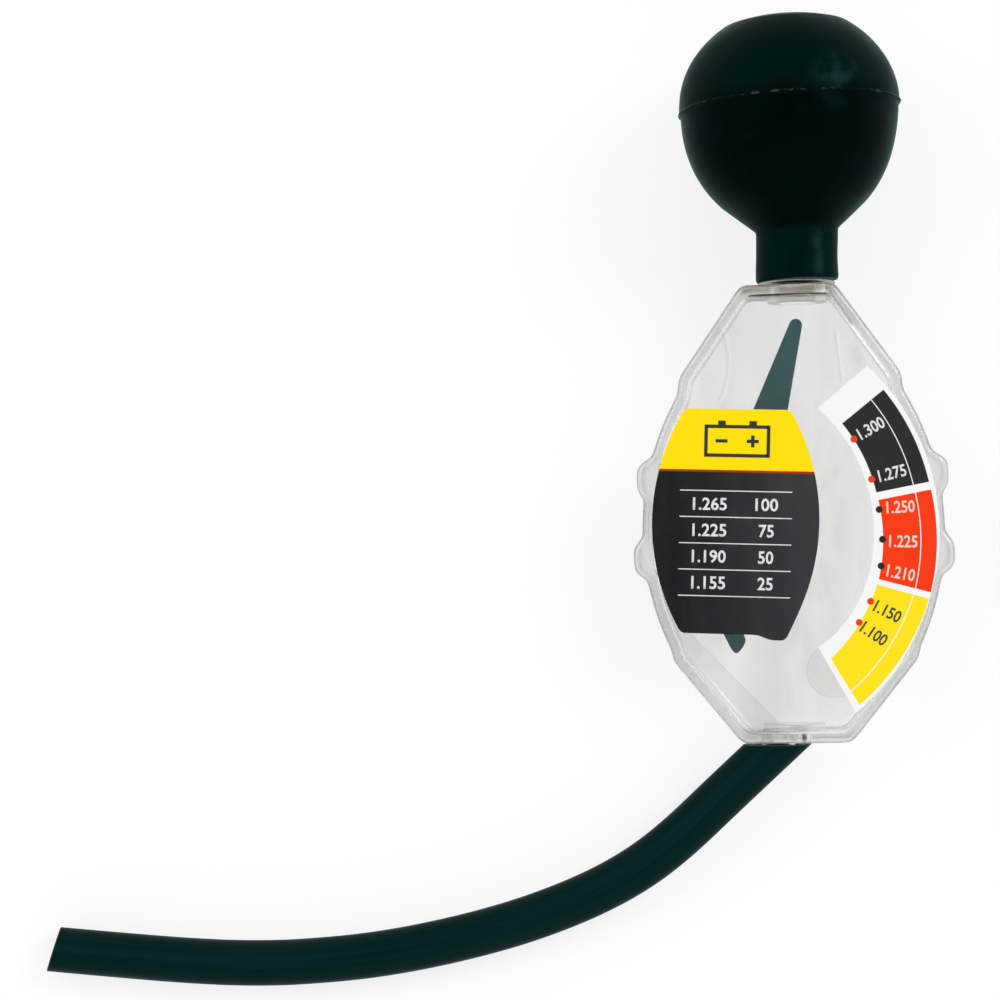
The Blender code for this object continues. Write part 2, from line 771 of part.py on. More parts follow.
def lay_down(frame, case, bulb, solid_parts):
    # The case's foot and the bulb's ring touch the table, and the footprint is centred on the origin
    case_points = points_of([case])
    bulb_points = points_of([bulb])

    def lowest(points, tilt):
        return (points[:, 1] * math.sin(tilt) + points[:, 2] * math.cos(tilt)).min()

    low = 0
    high = math.pi / 4
    while high - low > merge_distance:
        tilt = (low + high) / 2
        if lowest(bulb_points, tilt) < lowest(case_points, tilt):
            low = tilt
        else:
            high = tilt
    frame.rotation_euler.x = tilt
    points = points_of(solid_parts)
    centre = (points.min(axis=0) + points.max(axis=0)) / 2
    frame.location = (-centre[0], -centre[1], -points[:, 2].min())
    bpy.context.view_layer.update()


def main():
    case_frame = add_empty("case_frame")
    front_cover, back_cover = make_covers(case_frame)
    spigot = make_spigot(case_frame)
    bulb = make_bulb(case_frame)
    make_nipple(case_frame)
    pin = make_pin(case_frame)
    bracket = make_bracket(case_frame)
    needle_axis = add_empty("needle_axis", case_frame)
    needle_axis.location = (pivot_x, pivot_y, 0)
    needle_axis.rotation_euler.z = pointer_angle
    needle, ballast = make_pointer(needle_axis)
    info_label, scale_label = make_labels(case_frame)
    solid_parts = [front_cover, back_cover, spigot, bulb, pin, bracket, needle, ballast, info_label, scale_label]
    lay_down(case_frame, back_cover, bulb, solid_parts)
    make_hose(case_frame)


main()
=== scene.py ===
# Battery hydrometer: the looks of every piece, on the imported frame
import json
import math

import bmesh
import bpy
import numpy as np
from mathutils import Matrix, Vector


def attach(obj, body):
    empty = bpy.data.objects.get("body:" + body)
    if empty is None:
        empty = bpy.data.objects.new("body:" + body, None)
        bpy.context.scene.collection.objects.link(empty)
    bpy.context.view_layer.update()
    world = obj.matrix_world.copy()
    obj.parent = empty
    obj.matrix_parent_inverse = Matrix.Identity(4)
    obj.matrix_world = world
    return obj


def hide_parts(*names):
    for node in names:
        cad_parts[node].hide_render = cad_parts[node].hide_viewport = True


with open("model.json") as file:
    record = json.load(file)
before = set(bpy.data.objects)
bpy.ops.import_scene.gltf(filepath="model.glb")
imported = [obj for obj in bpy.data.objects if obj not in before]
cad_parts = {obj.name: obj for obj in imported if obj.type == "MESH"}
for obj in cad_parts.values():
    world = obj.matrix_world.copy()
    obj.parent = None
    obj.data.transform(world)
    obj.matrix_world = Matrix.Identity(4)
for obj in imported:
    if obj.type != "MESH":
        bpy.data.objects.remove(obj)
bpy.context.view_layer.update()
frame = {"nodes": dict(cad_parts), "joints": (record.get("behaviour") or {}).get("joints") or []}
print("frame loaded")

# The case's own frame: X across, Y towards the bulb, Z out of the front face
caseSizes = {
    "pivot": (-0.021, -0.0035),
    "halfDepth": 0.009,
    "wall": 0.0018,
    "top": 0.0461,
    "bottom": -0.0463,
    "gap": 0.0003,  # between the two covers
}
swing = frame["joints"][0]
caseNormal = Vector(swing["axis"])
caseTurn = Matrix.Rotation(math.atan2(-caseNormal.y, caseNormal.z), 3, "X")
caseOrigin = Vector(swing["pos_m"]) - caseTurn @ Vector((*caseSizes["pivot"], 0))


def toWorld(points):
    # From the case's frame to the row's frame
    return np.asarray(points, float) @ np.array(caseTurn).T + np.array(caseOrigin)


def toCase(points):
    return (np.asarray(points, float) - np.array(caseOrigin)) @ np.array(caseTurn)


def addObject(name, data):
    made = bpy.data.objects.new(name, data)
    bpy.context.scene.collection.objects.link(made)
    return made


# Camera: straight above the case's middle, turned so that the case sits right of the picture's middle
cameraSetup = {
    "distance": 0.5,  # from the front face
    "focalPixels": 2475.0,  # on a picture 1000 pixels wide
    "pictureSize": 1000.0,
    "caseMiddlePixel": (792.33, 513.0),
    "roll": math.radians(1.2575),
    "sensorWidth": 36.0,
    "clipStart": 0.01,
}


def makeCamera(setup):
    half = setup["pictureSize"] / 2
    pixelX, pixelY = setup["caseMiddlePixel"]
    towardsCase = Vector((pixelX - half, half - pixelY, -setup["focalPixels"])).normalized()
    lean = Vector((0, 0, -1)).rotation_difference(towardsCase).to_matrix()
    cameraFromCase = lean @ Matrix.Rotation(setup["roll"], 3, "Z")
    place = caseTurn @ Vector((0, 0, caseSizes["halfDepth"] + setup["distance"])) + caseOrigin
    data = bpy.data.cameras.new("photoCamera")
    data.sensor_width = setup["sensorWidth"]
    data.lens = setup["focalPixels"] / setup["pictureSize"] * setup["sensorWidth"]
    data.clip_start = setup["clipStart"]
    camera = addObject("photoCamera", data)
    camera.matrix_world = Matrix.Translation(place) @ (caseTurn @ cameraFromCase.transposed()).to_4x4()
    bpy.context.scene.camera = camera


makeCamera(cameraSetup)
print("camera placed")


def unit(vectors):
    return vectors / np.maximum(np.linalg.norm(vectors, axis=-1, keepdims=True), 1e-12)


def evenly(line, step=None, count=None, closed=False):
    # The same line with points at equal distances, and how far along it each of them lies
    if closed:
        line = np.vstack([line, line[:1]])
    lengths = np.concatenate([[0], np.cumsum(np.linalg.norm(np.diff(line, axis=0), axis=1))])
    count = count or round(lengths[-1] / step) + 1
    marks = np.linspace(0, lengths[-1], count, endpoint=not closed)
    return np.column_stack([np.interp(marks, lengths, column) for column in line.T]), marks


def smoothed(line, marks, least, most):
    # Each point becomes a Gaussian mean of its neighbours, over a width that shrinks towards both ends
    width = np.clip(np.minimum(marks, marks[::-1]) / 2, least, most)[:, None]
    weights = np.exp(-0.5 * ((marks[:, None] - marks[None, :]) / width) ** 2)
    return weights @ line / weights.sum(axis=1, keepdims=True)


def onCircle(radius, angles):
    return np.stack([radius * np.cos(angles), radius * np.sin(angles)], axis=-1)


def gridFaces(rows, columns, wrapRows=False, wrapColumns=False):
    # Quads between neighbours of a grid whose points are numbered row by row
    index = np.arange(rows * columns).reshape(rows, columns)
    if wrapRows:
        index = np.vstack([index, index[:1]])
    if wrapColumns:
        index = np.hstack([index, index[:, :1]])
    corners = (index[:-1, :-1], index[1:, :-1], index[1:, 1:], index[:-1, 1:])
    return np.stack(corners, axis=-1).reshape(-1, 4)


def settle(shape, mesh):
    # Merges the doubles, turns the faces outwards and writes the shape to the mesh
    bmesh.ops.remove_doubles(shape, verts=shape.verts, dist=1e-7)
    bmesh.ops.recalc_face_normals(shape, faces=shape.faces)
    shape.to_mesh(mesh)
    shape.free()


def meshPiece(name, points, faces=None, sharpAngle=38, uv=None):
    # A mesh object of arrays of points and quads, or of a grid of points whose rows close on themselves; uv holds
    # a pair of numbers for each point
    if faces is None:
        faces = gridFaces(*points.shape[:2], False, True)
    mesh = bpy.data.meshes.new(name)
    mesh.from_pydata(points.reshape(-1, 3).tolist(), [], faces.tolist())
    if uv is not None:
        layer = mesh.uv_layers.new(name="surface")
        vertexOfLoop = np.empty(len(mesh.loops), int)
        mesh.loops.foreach_get("vertex_index", vertexOfLoop)
        layer.data.foreach_set("uv", uv.reshape(-1, 2)[vertexOfLoop].ravel())
    shape = bmesh.new()
    shape.from_mesh(mesh)
    settle(shape, mesh)
    mesh.shade_smooth()
    mesh.set_sharp_from_angle(angle=math.radians(sharpAngle))
    return addObject(name, mesh)


def placesOf(mesh):
    flat = np.empty(len(mesh.vertices) * 3)
    mesh.vertices.foreach_get("co", flat)
    return flat.reshape(-1, 3)


class Wire:
    # A shader socket that does sums: an expression on wires adds its Math nodes to the tree
    def __init__(self, tree, socket=None):
        self.tree = tree
        self.socket = socket

    def node(self, kind, settings=None, inputs=None, output=0):
        # Any node: its settings are set first, then the values or links of its sockets
        made = self.tree.nodes.new(kind)
        for name, value in (settings or {}).items():
            setattr(made, name, value)
        for name, value in (inputs or {}).items():
            if isinstance(value, Wire):
                self.tree.links.new(value.socket, made.inputs[name])
            else:
                made.inputs[name].default_value = value
        return Wire(self.tree, made.outputs[output])

    def also(self, output):
        # Another output of the node that this wire comes from
        return Wire(self.tree, self.socket.node.outputs[output])

    def maths(self, operation, *values):
        return self.node("ShaderNodeMath", {"operation": operation}, dict(enumerate(values)))

    def vectorMaths(self, operation, *others):
        # A number that comes from this vector and others
        inputs = dict(enumerate((self, *others)))
        return self.node("ShaderNodeVectorMath", {"operation": operation}, inputs, output=1)

    def __add__(self, other):
        return self.maths("ADD", self, other)

    def __radd__(self, other):
        return self.maths("ADD", other, self)

    def __sub__(self, other):
        return self.maths("SUBTRACT", self, other)

    def __rsub__(self, other):
        return self.maths("SUBTRACT", other, self)

    def __mul__(self, other):
        return self.maths("MULTIPLY", self, other)

    def above(self, level, softness):
        # 1 where the value lies above the level, 0 below it, with a soft step between
        limits = {"From Min": level - softness, "From Max": level + softness}
        return self.node("ShaderNodeMapRange", {"clamp": True}, {"Value": self, **limits})

    def between(self, low, high, softness):
        return self.above(low, softness) * (1 - self.above(high, softness))

    def larger(self, other):
        return self.maths("MAXIMUM", self, other)

    def blend(self, low, high):
        # A colour that this wire, from 0 to 1, takes from low to high
        low, high = (end if isinstance(end, Wire) else (*end, 1) for end in (low, high))
        return self.node("ShaderNodeMix", {"data_type": "RGBA"}, {0: self, 6: low, 7: high}, output=2)

    def coordinate(self, axis):
        return self.node("ShaderNodeSeparateXYZ", inputs={"Vector": self}, output=axis)


def newMaterial(name, constants):
    # The wire that leaves a new material's Principled shader, whose own sockets hold the constants
    material = bpy.data.materials.new(name)
    material.use_nodes = True
    principled = material.node_tree.nodes["Principled BSDF"]
    for socket, value in constants.items():
        principled.inputs[socket].default_value = value
    shader = Wire(material.node_tree, principled.outputs[0])
    shader.material = material
    return shader


def paint(shader, colour, roughness=None, height=None, distance=1.0, strength=1.0):
    # Feeds what varies to the shader: its colour, its roughness, and a height through a bump
    fed = {"Base Color": colour, "Roughness": roughness}
    if height is not None:
        bump = {"Height": height, "Distance": distance, "Strength": strength}
        fed["Normal"] = shader.node("ShaderNodeBump", inputs=bump)
    for socket, wire in fed.items():
        if wire is not None:
            shader.tree.links.new(wire.socket, shader.socket.node.inputs[socket])
    return shader.material


def mixShaders(shader, factor, second):
    # The material shows its own shader where the factor is 0 and the second one where it is 1
    mixed = shader.node("ShaderNodeMixShader", inputs={0: factor, 1: shader, 2: second})
    output = shader.tree.nodes["Material Output"]
    shader.tree.links.new(mixed.socket, output.inputs["Surface"])


def layered(colour, layers):
    # Each tone is laid over the colour where its mask is 1
    for mask, tone in layers:
        colour = mask.blend(colour, tone)
    return colour


def objectPlace(wire):
    return wire.node("ShaderNodeTexCoord", output=3)


def surfaceUv(wire):
    return wire.node("ShaderNodeUVMap", {"uv_map": "surface"})


def noise(wire, scale, detail=2, stretch=(1, 1, 1), place=None):
    # Noise over the object's own coordinates or over another place
    mapped = wire.node("ShaderNodeMapping", inputs={"Vector": place or objectPlace(wire), "Scale": stretch})
    return wire.node("ShaderNodeTexNoise", inputs={"Vector": mapped, "Scale": scale, "Detail": detail})


def distanceAlong(wire, axis, start):
    # How far a point lies along an axis from a start, in metres
    return objectPlace(wire).vectorMaths("DOT_PRODUCT", tuple(axis)) - axis.dot(start)


def reachOf(dx, dy):
    return dx.maths("SQRT", dx * dx + dy * dy)


def dress(piece, material, body, replaces=()):
    # The material, the body that the piece moves with, and the CAD nodes that it stands for
    piece.data.materials.clear()
    piece.data.materials.append(material)
    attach(piece, body)
    if replaces:
        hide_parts(*replaces)
    return piece


# Clear plastic and small moulded parts, which the hose's nipple needs too
clearLooks = {
    "colour": (0.915, 0.922, 0.91),
    "paleColour": (0.985, 0.985, 0.98),
    "smudge": (0.84, 0.84, 0.82),
    "stain": (0.42, 0.38, 0.29),
    "edgeLineShade": (0.36, 0.38, 0.34),
    "edgeBandShade": (0.66, 0.68, 0.64),
    "flowColour": (0.8, 0.82, 0.81),
    "flowHighlight": (1.0, 1.0, 1.0),
    "wallColour": (0.86, 0.87, 0.855),
    "rimShadeColour": (0.3, 0.33, 0.29),
    "paintedSlopeShade": (0.76, 0.79, 0.76),
    "markColour": (0.8, 0.8, 0.79),
    "shadeColour": (0.95, 0.955, 0.95),  # what a surface lets through to the floor and the pieces inside
    "roughness": 0.02,
    "wallRoughness": 0.34,
    "ior": 1.49,
    "tubeIor": 1.06,
    "bump": (0.0003, 0.12),  # distance and strength
    "rimSpan": (0.5, 0.85),  # share of the rounded edge, from the face to the wall, that carries a line of painted shade
    "stainDepth": (0.0011, 0.0005),  # from the case's top, and its softness
    "markMiddle": (0.0077, -0.0328),
    "markRadius": 0.0056,
    "markRim": 0.0003,
    "markSoftness": 0.00015,
    "markStrengths": (0.5, 0.4),  # of the disc and of its rim
    "markRise": 0.6,
    # Lines of painted shade near the top, where the inner walls' edges show through: start, end and half width
    "lines": (((-0.0076, 0.0438), (0.0049, 0.0442), 0.00016), ((0.0085, 0.0441), (0.0127, 0.0377), 0.00026)),
    # Wider bands of painted shade beside them, with the same columns
    "bands": (((-0.0078, 0.043), (0.0052, 0.0433), 0.0004), ((0.0094, 0.0445), (0.0138, 0.0379), 0.00035)),
    # Flow lines: x where they turn, how strongly they bend, y where they turn, lowest and highest y
    "flows": ((-0.0123, -30.0, 0.031, 0.0225, 0.0374), (0.0082, 1.86, 0.06, 0.0264, 0.0368)),
    "flowHalfWidth": 0.00028,
    "flowStrengths": (0.6, 0.8),  # of the line and of the painted highlight beside it
    "flowSoftness": (0.00015, 0.0008),  # across and along
    "lineSoftness": 0.0001,
    "slopeLineHalfWidth": 0.0002,
    "slopeStrengths": (0.75, 0.3),  # of the plane and of the line where it starts
}


def alongLine(across, upwards, start, end, halfWidth):
    # 1 within half a width of the straight line from start to end
    length = math.dist(start, end)
    run, rise = (end[0] - start[0]) / length, (end[1] - start[1]) / length
    dx, dy = across - start[0], upwards - start[1]
    past = dx * run + dy * rise
    aside = dy * run - dx * rise
    soft = halfWidth / 2
    return past.between(-halfWidth, length + halfWidth, soft) * aside.between(-halfWidth, halfWidth, soft)


def flowMarksAndEdgeShade(across, upwards, looks):
    # Layers for the flow lines, each with a painted highlight beside it, and for the lines and bands of painted shade
    # near the top
    layers = []
    half = looks["flowHalfWidth"]
    soft, softAlong = looks["flowSoftness"]
    lineStrength, sideStrength = looks["flowStrengths"]
    for turnX, bend, turnY, low, high in looks["flows"]:
        fromTurn = upwards - turnY
        aside = across - turnX - fromTurn * fromTurn * bend
        length = upwards.between(low, high, softAlong)
        layers.append((aside.between(-half, half, soft) * length * lineStrength, looks["flowColour"]))
        # A painted highlight beside each flow line
        layers.append((aside.between(half, 3 * half, soft) * length * sideStrength, looks["flowHighlight"]))
    # Painted shade where the inner walls' edges show through near the top
    for key, strength, tone in (("bands", 0.6, "edgeBandShade"), ("lines", 1.0, "edgeLineShade")):
        for start, end, halfWidth in looks[key]:
            layers.append((alongLine(across, upwards, start, end, halfWidth) * strength, looks[tone]))
    return layers


def clearMaterial(name, looks, ior, stained, dull=0.0, walled=False, lined=False, marked=False):
    # Clear moulded plastic: flow marks with a painted highlight beside each, duller walls with lines of painted shade
    # along the rounded edges, stains round the bulb's neck, painted shade near the top and on the slanting plane, and
    # a round mark
    shader = newMaterial(name, {"IOR": ior, "Transmission Weight": 1.0})
    across, upwards = (distanceAlong(shader, caseTurn.col[axis], caseOrigin) for axis in (0, 1))
    flow = noise(shader, 60, 2, (1.6, 0.5, 1))
    rubbed = noise(shader, 700, 4)
    smudges = noise(shader, 110, 5, (1.4, 0.6, 1)).above(0.62, 0.05)
    smears = noise(shader, 260, 4, (0.6, 1, 1)).above(0.36, 0.16)
    colour = flow.above(0.5, 0.12).blend(looks["colour"], looks["paleColour"])
    layers = [(smudges * 0.5, looks["smudge"])]
    height = flow
    roughness = looks["roughness"] + dull + rubbed.above(0.6, 0.1) * 0.05
    if walled:
        onWallAndSlope = surfaceUv(shader).coordinate(0)
        # A greyer tone on the walls; on the back cover's slanting plane, which shares this mask, it is painted shade
        layers.append((onWallAndSlope, looks["wallColour"]))
        # Painted shade: dark lines along the rounded edge and the inner fillet
        layers.append((onWallAndSlope.between(*looks["rimSpan"], 0.1) * 0.8, looks["rimShadeColour"]))
        roughness = roughness + onWallAndSlope * (looks["wallRoughness"] + (rubbed - 0.5) * 0.3)
    depth, soft = looks["stainDepth"]
    layers.append((upwards.above(caseSizes["top"] - depth, soft) * smears * stained, looks["stain"]))
    if lined:
        layers.extend(flowMarksAndEdgeShade(across, upwards, looks))
    if marked:
        # Painted shade on the slanting plane at the lower left and along the line where it starts, and a round mark
        start, end = np.array(coverSizes["slopeLine"])
        toRight, upward = unit(end - start)[::-1] * (1, -1)
        past = (across - start[0]) * toRight + (upwards - start[1]) * upward
        half, soft = looks["slopeLineHalfWidth"], looks["lineSoftness"]
        planeStrength, lineStrength = looks["slopeStrengths"]
        planeShade = past.above(0, soft) * planeStrength + past.between(-half, half, soft) * lineStrength
        layers.append((planeShade, looks["paintedSlopeShade"]))
        reach = reachOf(across - looks["markMiddle"][0], upwards - looks["markMiddle"][1])
        disc = 1 - reach.above(looks["markRadius"], looks["markSoftness"])
        rim = reach.between(looks["markRadius"] - looks["markRim"], looks["markRadius"], soft)
        discStrength, rimStrength = looks["markStrengths"]
        layers.append((disc * discStrength + rim * rimStrength, looks["markColour"]))
        height = flow + disc * looks["markRise"]
    paint(shader, layered(colour, layers), roughness, height, *looks["bump"])
    # Light from lamps and pieces goes straight through, so that the plastic's shadow is as pale as the real one's
    path = shader.node("ShaderNodeLightPath", output="Is Shadow Ray")
    path = path.larger(path.also("Is Diffuse Ray"))
    through = shader.node("ShaderNodeBsdfTransparent", inputs={"Color": (*looks["shadeColour"], 1)})
    mixShaders(shader, path, through)
    return shader.material


bevelSizes = {
    "merge": 2e-6,
    "flat": math.radians(1.5),  # faces that meet at less than this become one
    "sharp": math.radians(40),  # edges that bend more than this are rounded
    "segments": 3,
}


def softEdged(nodeName, pieceName, width, reshape=None):
    # A merged copy of the CAD solid, its flat faces made whole and its edges rounded by a Bevel modifier
    mesh = frame["nodes"][nodeName].data.copy()
    shape = bmesh.new()
    shape.from_mesh(mesh)
    bmesh.ops.remove_doubles(shape, verts=shape.verts, dist=bevelSizes["merge"])
    bmesh.ops.dissolve_limit(shape, angle_limit=bevelSizes["flat"], verts=shape.verts, edges=shape.edges)
    shape.to_mesh(mesh)
    shape.free()
    if reshape:
        mesh.vertices.foreach_set("co", toWorld(reshape(toCase(placesOf(mesh)))).ravel())
    mesh.shade_smooth()
    piece = addObject(pieceName, mesh)
    bevel = piece.modifiers.new("roundedEdges", "BEVEL")
    bevel.width = width
    bevel.segments = bevelSizes["segments"]
    bevel.limit_method = "ANGLE"
    bevel.angle_limit = bevelSizes["sharp"]
    bevel.harden_normals = True
    bevel.material = 1  # where the piece has a second material, its rounded edges show it
    return piece


clearTube = clearMaterial("clearTube", clearLooks, clearLooks["tubeIor"], 0.4, dull=0.3)
nipple = softEdged("hose_nipple", "hoseNipple", 0.0002)
dress(nipple, clearTube, "tool", ["hose_nipple"])

# Hose: its route repeats the one that the solid follows, in metres
hoseSizes = {
    "radius": 0.0047,
    "boreRadius": 0.003,
    "step": 0.0009,
    "fineSteps": 1500,
    "smoothing": 0.004,
    "leastSmoothing": 0.00008,
    "sides": 48,
    "endChamfer": 0.00015,
    "mitreBlend": 0.016,
    "footSpace": 0.0008,  # between the case's foot and the rubber
    "cutSlant": (0.23, 0.3),  # how the open end was cut: sideways and upwards
    "cutBlend": 0.012,
    "crest": (1.25, 1.7),  # angles round the hose between which its top is painted a little paler, a painted highlight
    "colour": (0.0005, 0.0105, 0.0098),
    "paleColour": (0.0018, 0.017, 0.016),
    "roughness": 0.4,
}
hoseRoute = (
    (0.0009, -0.06945, 0.00927), (-0.0057, -0.0755, 0.0086), (-0.01235, -0.08155, 0.00796),
    (-0.0169, -0.0857, 0.0075), (-0.0236, -0.0920, 0.0068), (-0.0300, -0.0972, 0.0061),
    (-0.0364, -0.1012, 0.0056), (-0.0433, -0.1046, 0.0052), (-0.0508, -0.1076, 0.0049),
    (-0.0585, -0.1102, 0.0048), (-0.0662, -0.1123, 0.00475), (-0.0739, -0.1141, 0.00475),
    (-0.0826, -0.1158, 0.00475), (-0.0924, -0.1172, 0.00475), (-0.1070, -0.1183, 0.00475),
    (-0.1183, -0.1183, 0.00475), (-0.1294, -0.1177, 0.00475), (-0.1432, -0.1166, 0.00475),
    (-0.1570, -0.1154, 0.00475),
)


def hoseCentreline(route, sizes):
    # Equal steps along the smoothed route, from the case's foot to the open end
    line, marks = evenly(np.array(route), count=sizes["fineSteps"])
    line = smoothed(line, marks, sizes["leastSmoothing"], sizes["smoothing"])
    foot = toWorld([0, caseSizes["bottom"] - sizes["footSpace"], 0])
    return evenly(line[(line - foot) @ np.array(caseTurn)[:, 1] < 0], sizes["step"])


def makeHose(sizes):
    # A ring of points square to the middle line at each step, carried along the outside and back inside
    line, marks = hoseCentreline(hoseRoute, sizes)
    ahead = unit(np.gradient(line, axis=0))
    side = unit(np.cross(ahead, [0, 0, 1]))
    up = np.cross(side, ahead)
    angles = np.linspace(0, math.tau, sizes["sides"], endpoint=False)
    spokes = np.cos(angles)[None, :, None] * side[:, None] + np.sin(angles)[None, :, None] * up[:, None]
    # The start is sheared so that it lies flat on the case's foot
    footNormal = -np.array(caseTurn)[:, 1]
    lead = -(spokes @ footNormal) / (ahead @ footNormal)[:, None]
    shear = lead * np.clip(1 - marks / sizes["mitreBlend"], 0, 1)[:, None]
    # The open end is cut at a slant
    aside, upwards = sizes["cutSlant"]
    cut = -aside * np.cos(angles) - upwards * np.sin(angles)
    shear += cut * np.clip(1 - (marks[-1] - marks) / sizes["cutBlend"], 0, 1)[:, None]

    def ring(radius, rows, back=0.0):
        sheared = radius * (spokes[rows] + shear[rows][..., None] * ahead[rows, None])
        return line[rows, None] + sheared - back * ahead[rows, None]

    every = np.arange(len(line))
    last = every[-1:]
    radius, bore, chamfer = sizes["radius"], sizes["boreRadius"], sizes["endChamfer"]
    surface = np.concatenate([
        ring(radius, every[:-1]),
        ring(radius, last, chamfer),
        ring(radius - chamfer, last),
        ring(bore + chamfer, last),
        ring(bore, last, chamfer),
        ring(bore, every[:-1])[::-1],
    ])
    faces = gridFaces(len(surface), sizes["sides"], True, True)
    along = np.concatenate([marks[:-1], marks[[-1, -1, -1, -1]], marks[-2::-1]])
    uv = np.stack(np.broadcast_arrays(along[:, None], angles[None, :]), axis=-1)
    return meshPiece("suctionHose", surface, faces, uv=uv), line, marks[-1]


def hoseMaterial(sizes):
    # Dark extruded rubber: faint lengthwise streaks, dull patches, a fine grain and a painted highlight along its top
    constants = {"IOR": 1.45, "Specular IOR Level": 0.035, "Specular Tint": (0.4, 1.0, 0.9, 1)}
    shader = newMaterial("hoseRubber", constants)
    uv = surfaceUv(shader)
    streaks = noise(shader, 1, 3, (18, 5, 1), uv)
    patches = noise(shader, 90, 3)
    # Painted highlight: a paler band along the hose's top, broken by the streaks
    crest = uv.coordinate(1).between(*sizes["crest"], 0.12) * streaks.above(0.4, 0.2)
    tone = streaks.above(0.56, 0.2) * 0.5 + patches.above(0.6, 0.25) * 0.3 + crest * 0.5
    roughness = sizes["roughness"] + (patches - 0.5) * 0.25 + (streaks - 0.5) * 0.1
    height = noise(shader, 2200, 3) + streaks * 0.5
    return paint(shader, tone.blend(sizes["colour"], sizes["paleColour"]), roughness, height, 0.00004, 0.5)


hose, hoseLine, hoseLength = makeHose(hoseSizes)
dress(hose, hoseMaterial(hoseSizes), "tool", ["hose"])
print("hose made, length", round(hoseLength, 4))

# Bulb, measured along its own axis from the parting ring
bulbSizes = {
    "radius": 0.0224,
    "wall": 0.0026,
    "centreHeight": 0.0364,  # above the case's top
    "crownHeight": 0.0191,
    "crownRadius": 0.0126,
    "crownSag": 0.002,
    "lowerHeight": 0.0256,
    "coneStart": 0.0195,
    "neckRadius": 0.0083,
    "neckTop": 0.0248,
    "neckFlare": 0.0002,
    "neckRound": (0.0003, 0.0004),  # across and along
    "boreRadius": 0.0056,
    "spigotX": 0.0019,
    "spigotReach": 0.0096,
    "collarTop": 0.0012,
    "lean": math.radians(1.5),
    "ringHeight": 0.00045,
    "ringHalfWidth": 0.0003,
    "stepBelowRing": 0.00022,
    "stepFade": (0.0003, 0.002, 0.012),  # where the step is whole, starts to fade and has gone
    # Unevennesses: height, waves round the axis, waves along it, phase
    "sways": ((0.00009, 2, 220, 0), (0.00006, 3, -340, 2)),
    "swayRadius": 0.012,  # less sway nearer to the axis than this
    "softening": 0.0003,
    "sides": 180,
    "profileStep": 0.0003,
    # Painted highlight: a mottled pale spot on the upper half, its middle and radius
    "highlightSpotPlace": (0.0098, 0.0024, 0.0198),
    "highlightSpotRadius": 0.0042,
    # Painted highlight: a stripe along the neck, between these distances to the side
    "neckHighlightStripe": (0.0035, 0.0052),
    "footSway": 0.0005,  # how far the cone's foot is pushed to the right
    "footSwayReach": 0.0055,
    "colour": (0.0001, 0.0014, 0.0016),
    "paleColour": (0.0008, 0.0078, 0.0075),
    # Colour where the painted highlights go paler still
    "highlightColour": (0.012, 0.045, 0.043),
    # Wear on the parting ring, with painted highlights in it
    "ringWearAndHighlight": (0.045, 0.062, 0.058),
    "roughness": 0.44,
}


def bulbProfile(sizes):
    # Radius against height: a shallow crown, a quarter ellipse down to the ring, a longer one below it,
    # a cone into the neck, then the hollow back up on two quarter ellipses
    radius, neckRadius, neckTop, step = (sizes[key] for key in ("radius", "neckRadius", "neckTop", "profileStep"))
    corner = sizes["crownHeight"] - sizes["crownSag"]
    upper = corner / math.sqrt(1 - (sizes["crownRadius"] / radius) ** 2)

    def ellipse(across, upwards, start, end, count):
        share = np.linspace(start, end, count)
        return np.column_stack([across * np.sqrt(1 - share ** 2), upwards * share])

    share = np.linspace(0, 1, 20)
    crown = np.column_stack([sizes["crownRadius"] * share, sizes["crownHeight"] - sizes["crownSag"] * share ** 2])
    dome = ellipse(radius, upper, corner / upper, 0, 60)
    lower = ellipse(radius, -sizes["lowerHeight"], 0, sizes["coneStart"] / sizes["lowerHeight"], 60)
    neckEnd = sizes["collarTop"] - sizes["centreHeight"]
    flared = neckRadius + sizes["neckFlare"]
    roundAcross, roundAlong = sizes["neckRound"]
    neck = [(neckRadius, -neckTop), (neckRadius, (neckEnd - neckTop) / 2),
            (flared, neckEnd + roundAlong), (flared - roundAcross, neckEnd)]
    outer, marks = evenly(np.vstack([crown, dome[1:], lower[1:], neck]), step)
    outer = smoothed(outer, np.arange(len(marks)) * step, 1e-6, sizes["softening"])
    bore, innerRadius = sizes["boreRadius"], radius - sizes["wall"]
    below = ellipse(innerRadius, sizes["wall"] - sizes["lowerHeight"], math.sqrt(1 - (bore / innerRadius) ** 2), 0, 30)
    above = ellipse(innerRadius, sizes["crownHeight"] - sizes["wall"], 0, 1, 30)
    return outer, np.vstack([[(bore, neckEnd)], below, above[1:]])


def bulbFrame(sizes):
    # The bulb's axis leans about the middle of the spigot; its centre lies in the parting ring
    lean = Matrix.Rotation(sizes["lean"], 3, "Z")
    neckMiddle = caseSizes["top"] + sizes["spigotReach"] / 2
    rise = caseSizes["top"] + sizes["centreHeight"] - neckMiddle
    centre = Vector((sizes["spigotX"], neckMiddle, 0)) + lean @ Vector((0, rise, 0))
    return caseTurn @ lean, caseTurn @ centre + caseOrigin


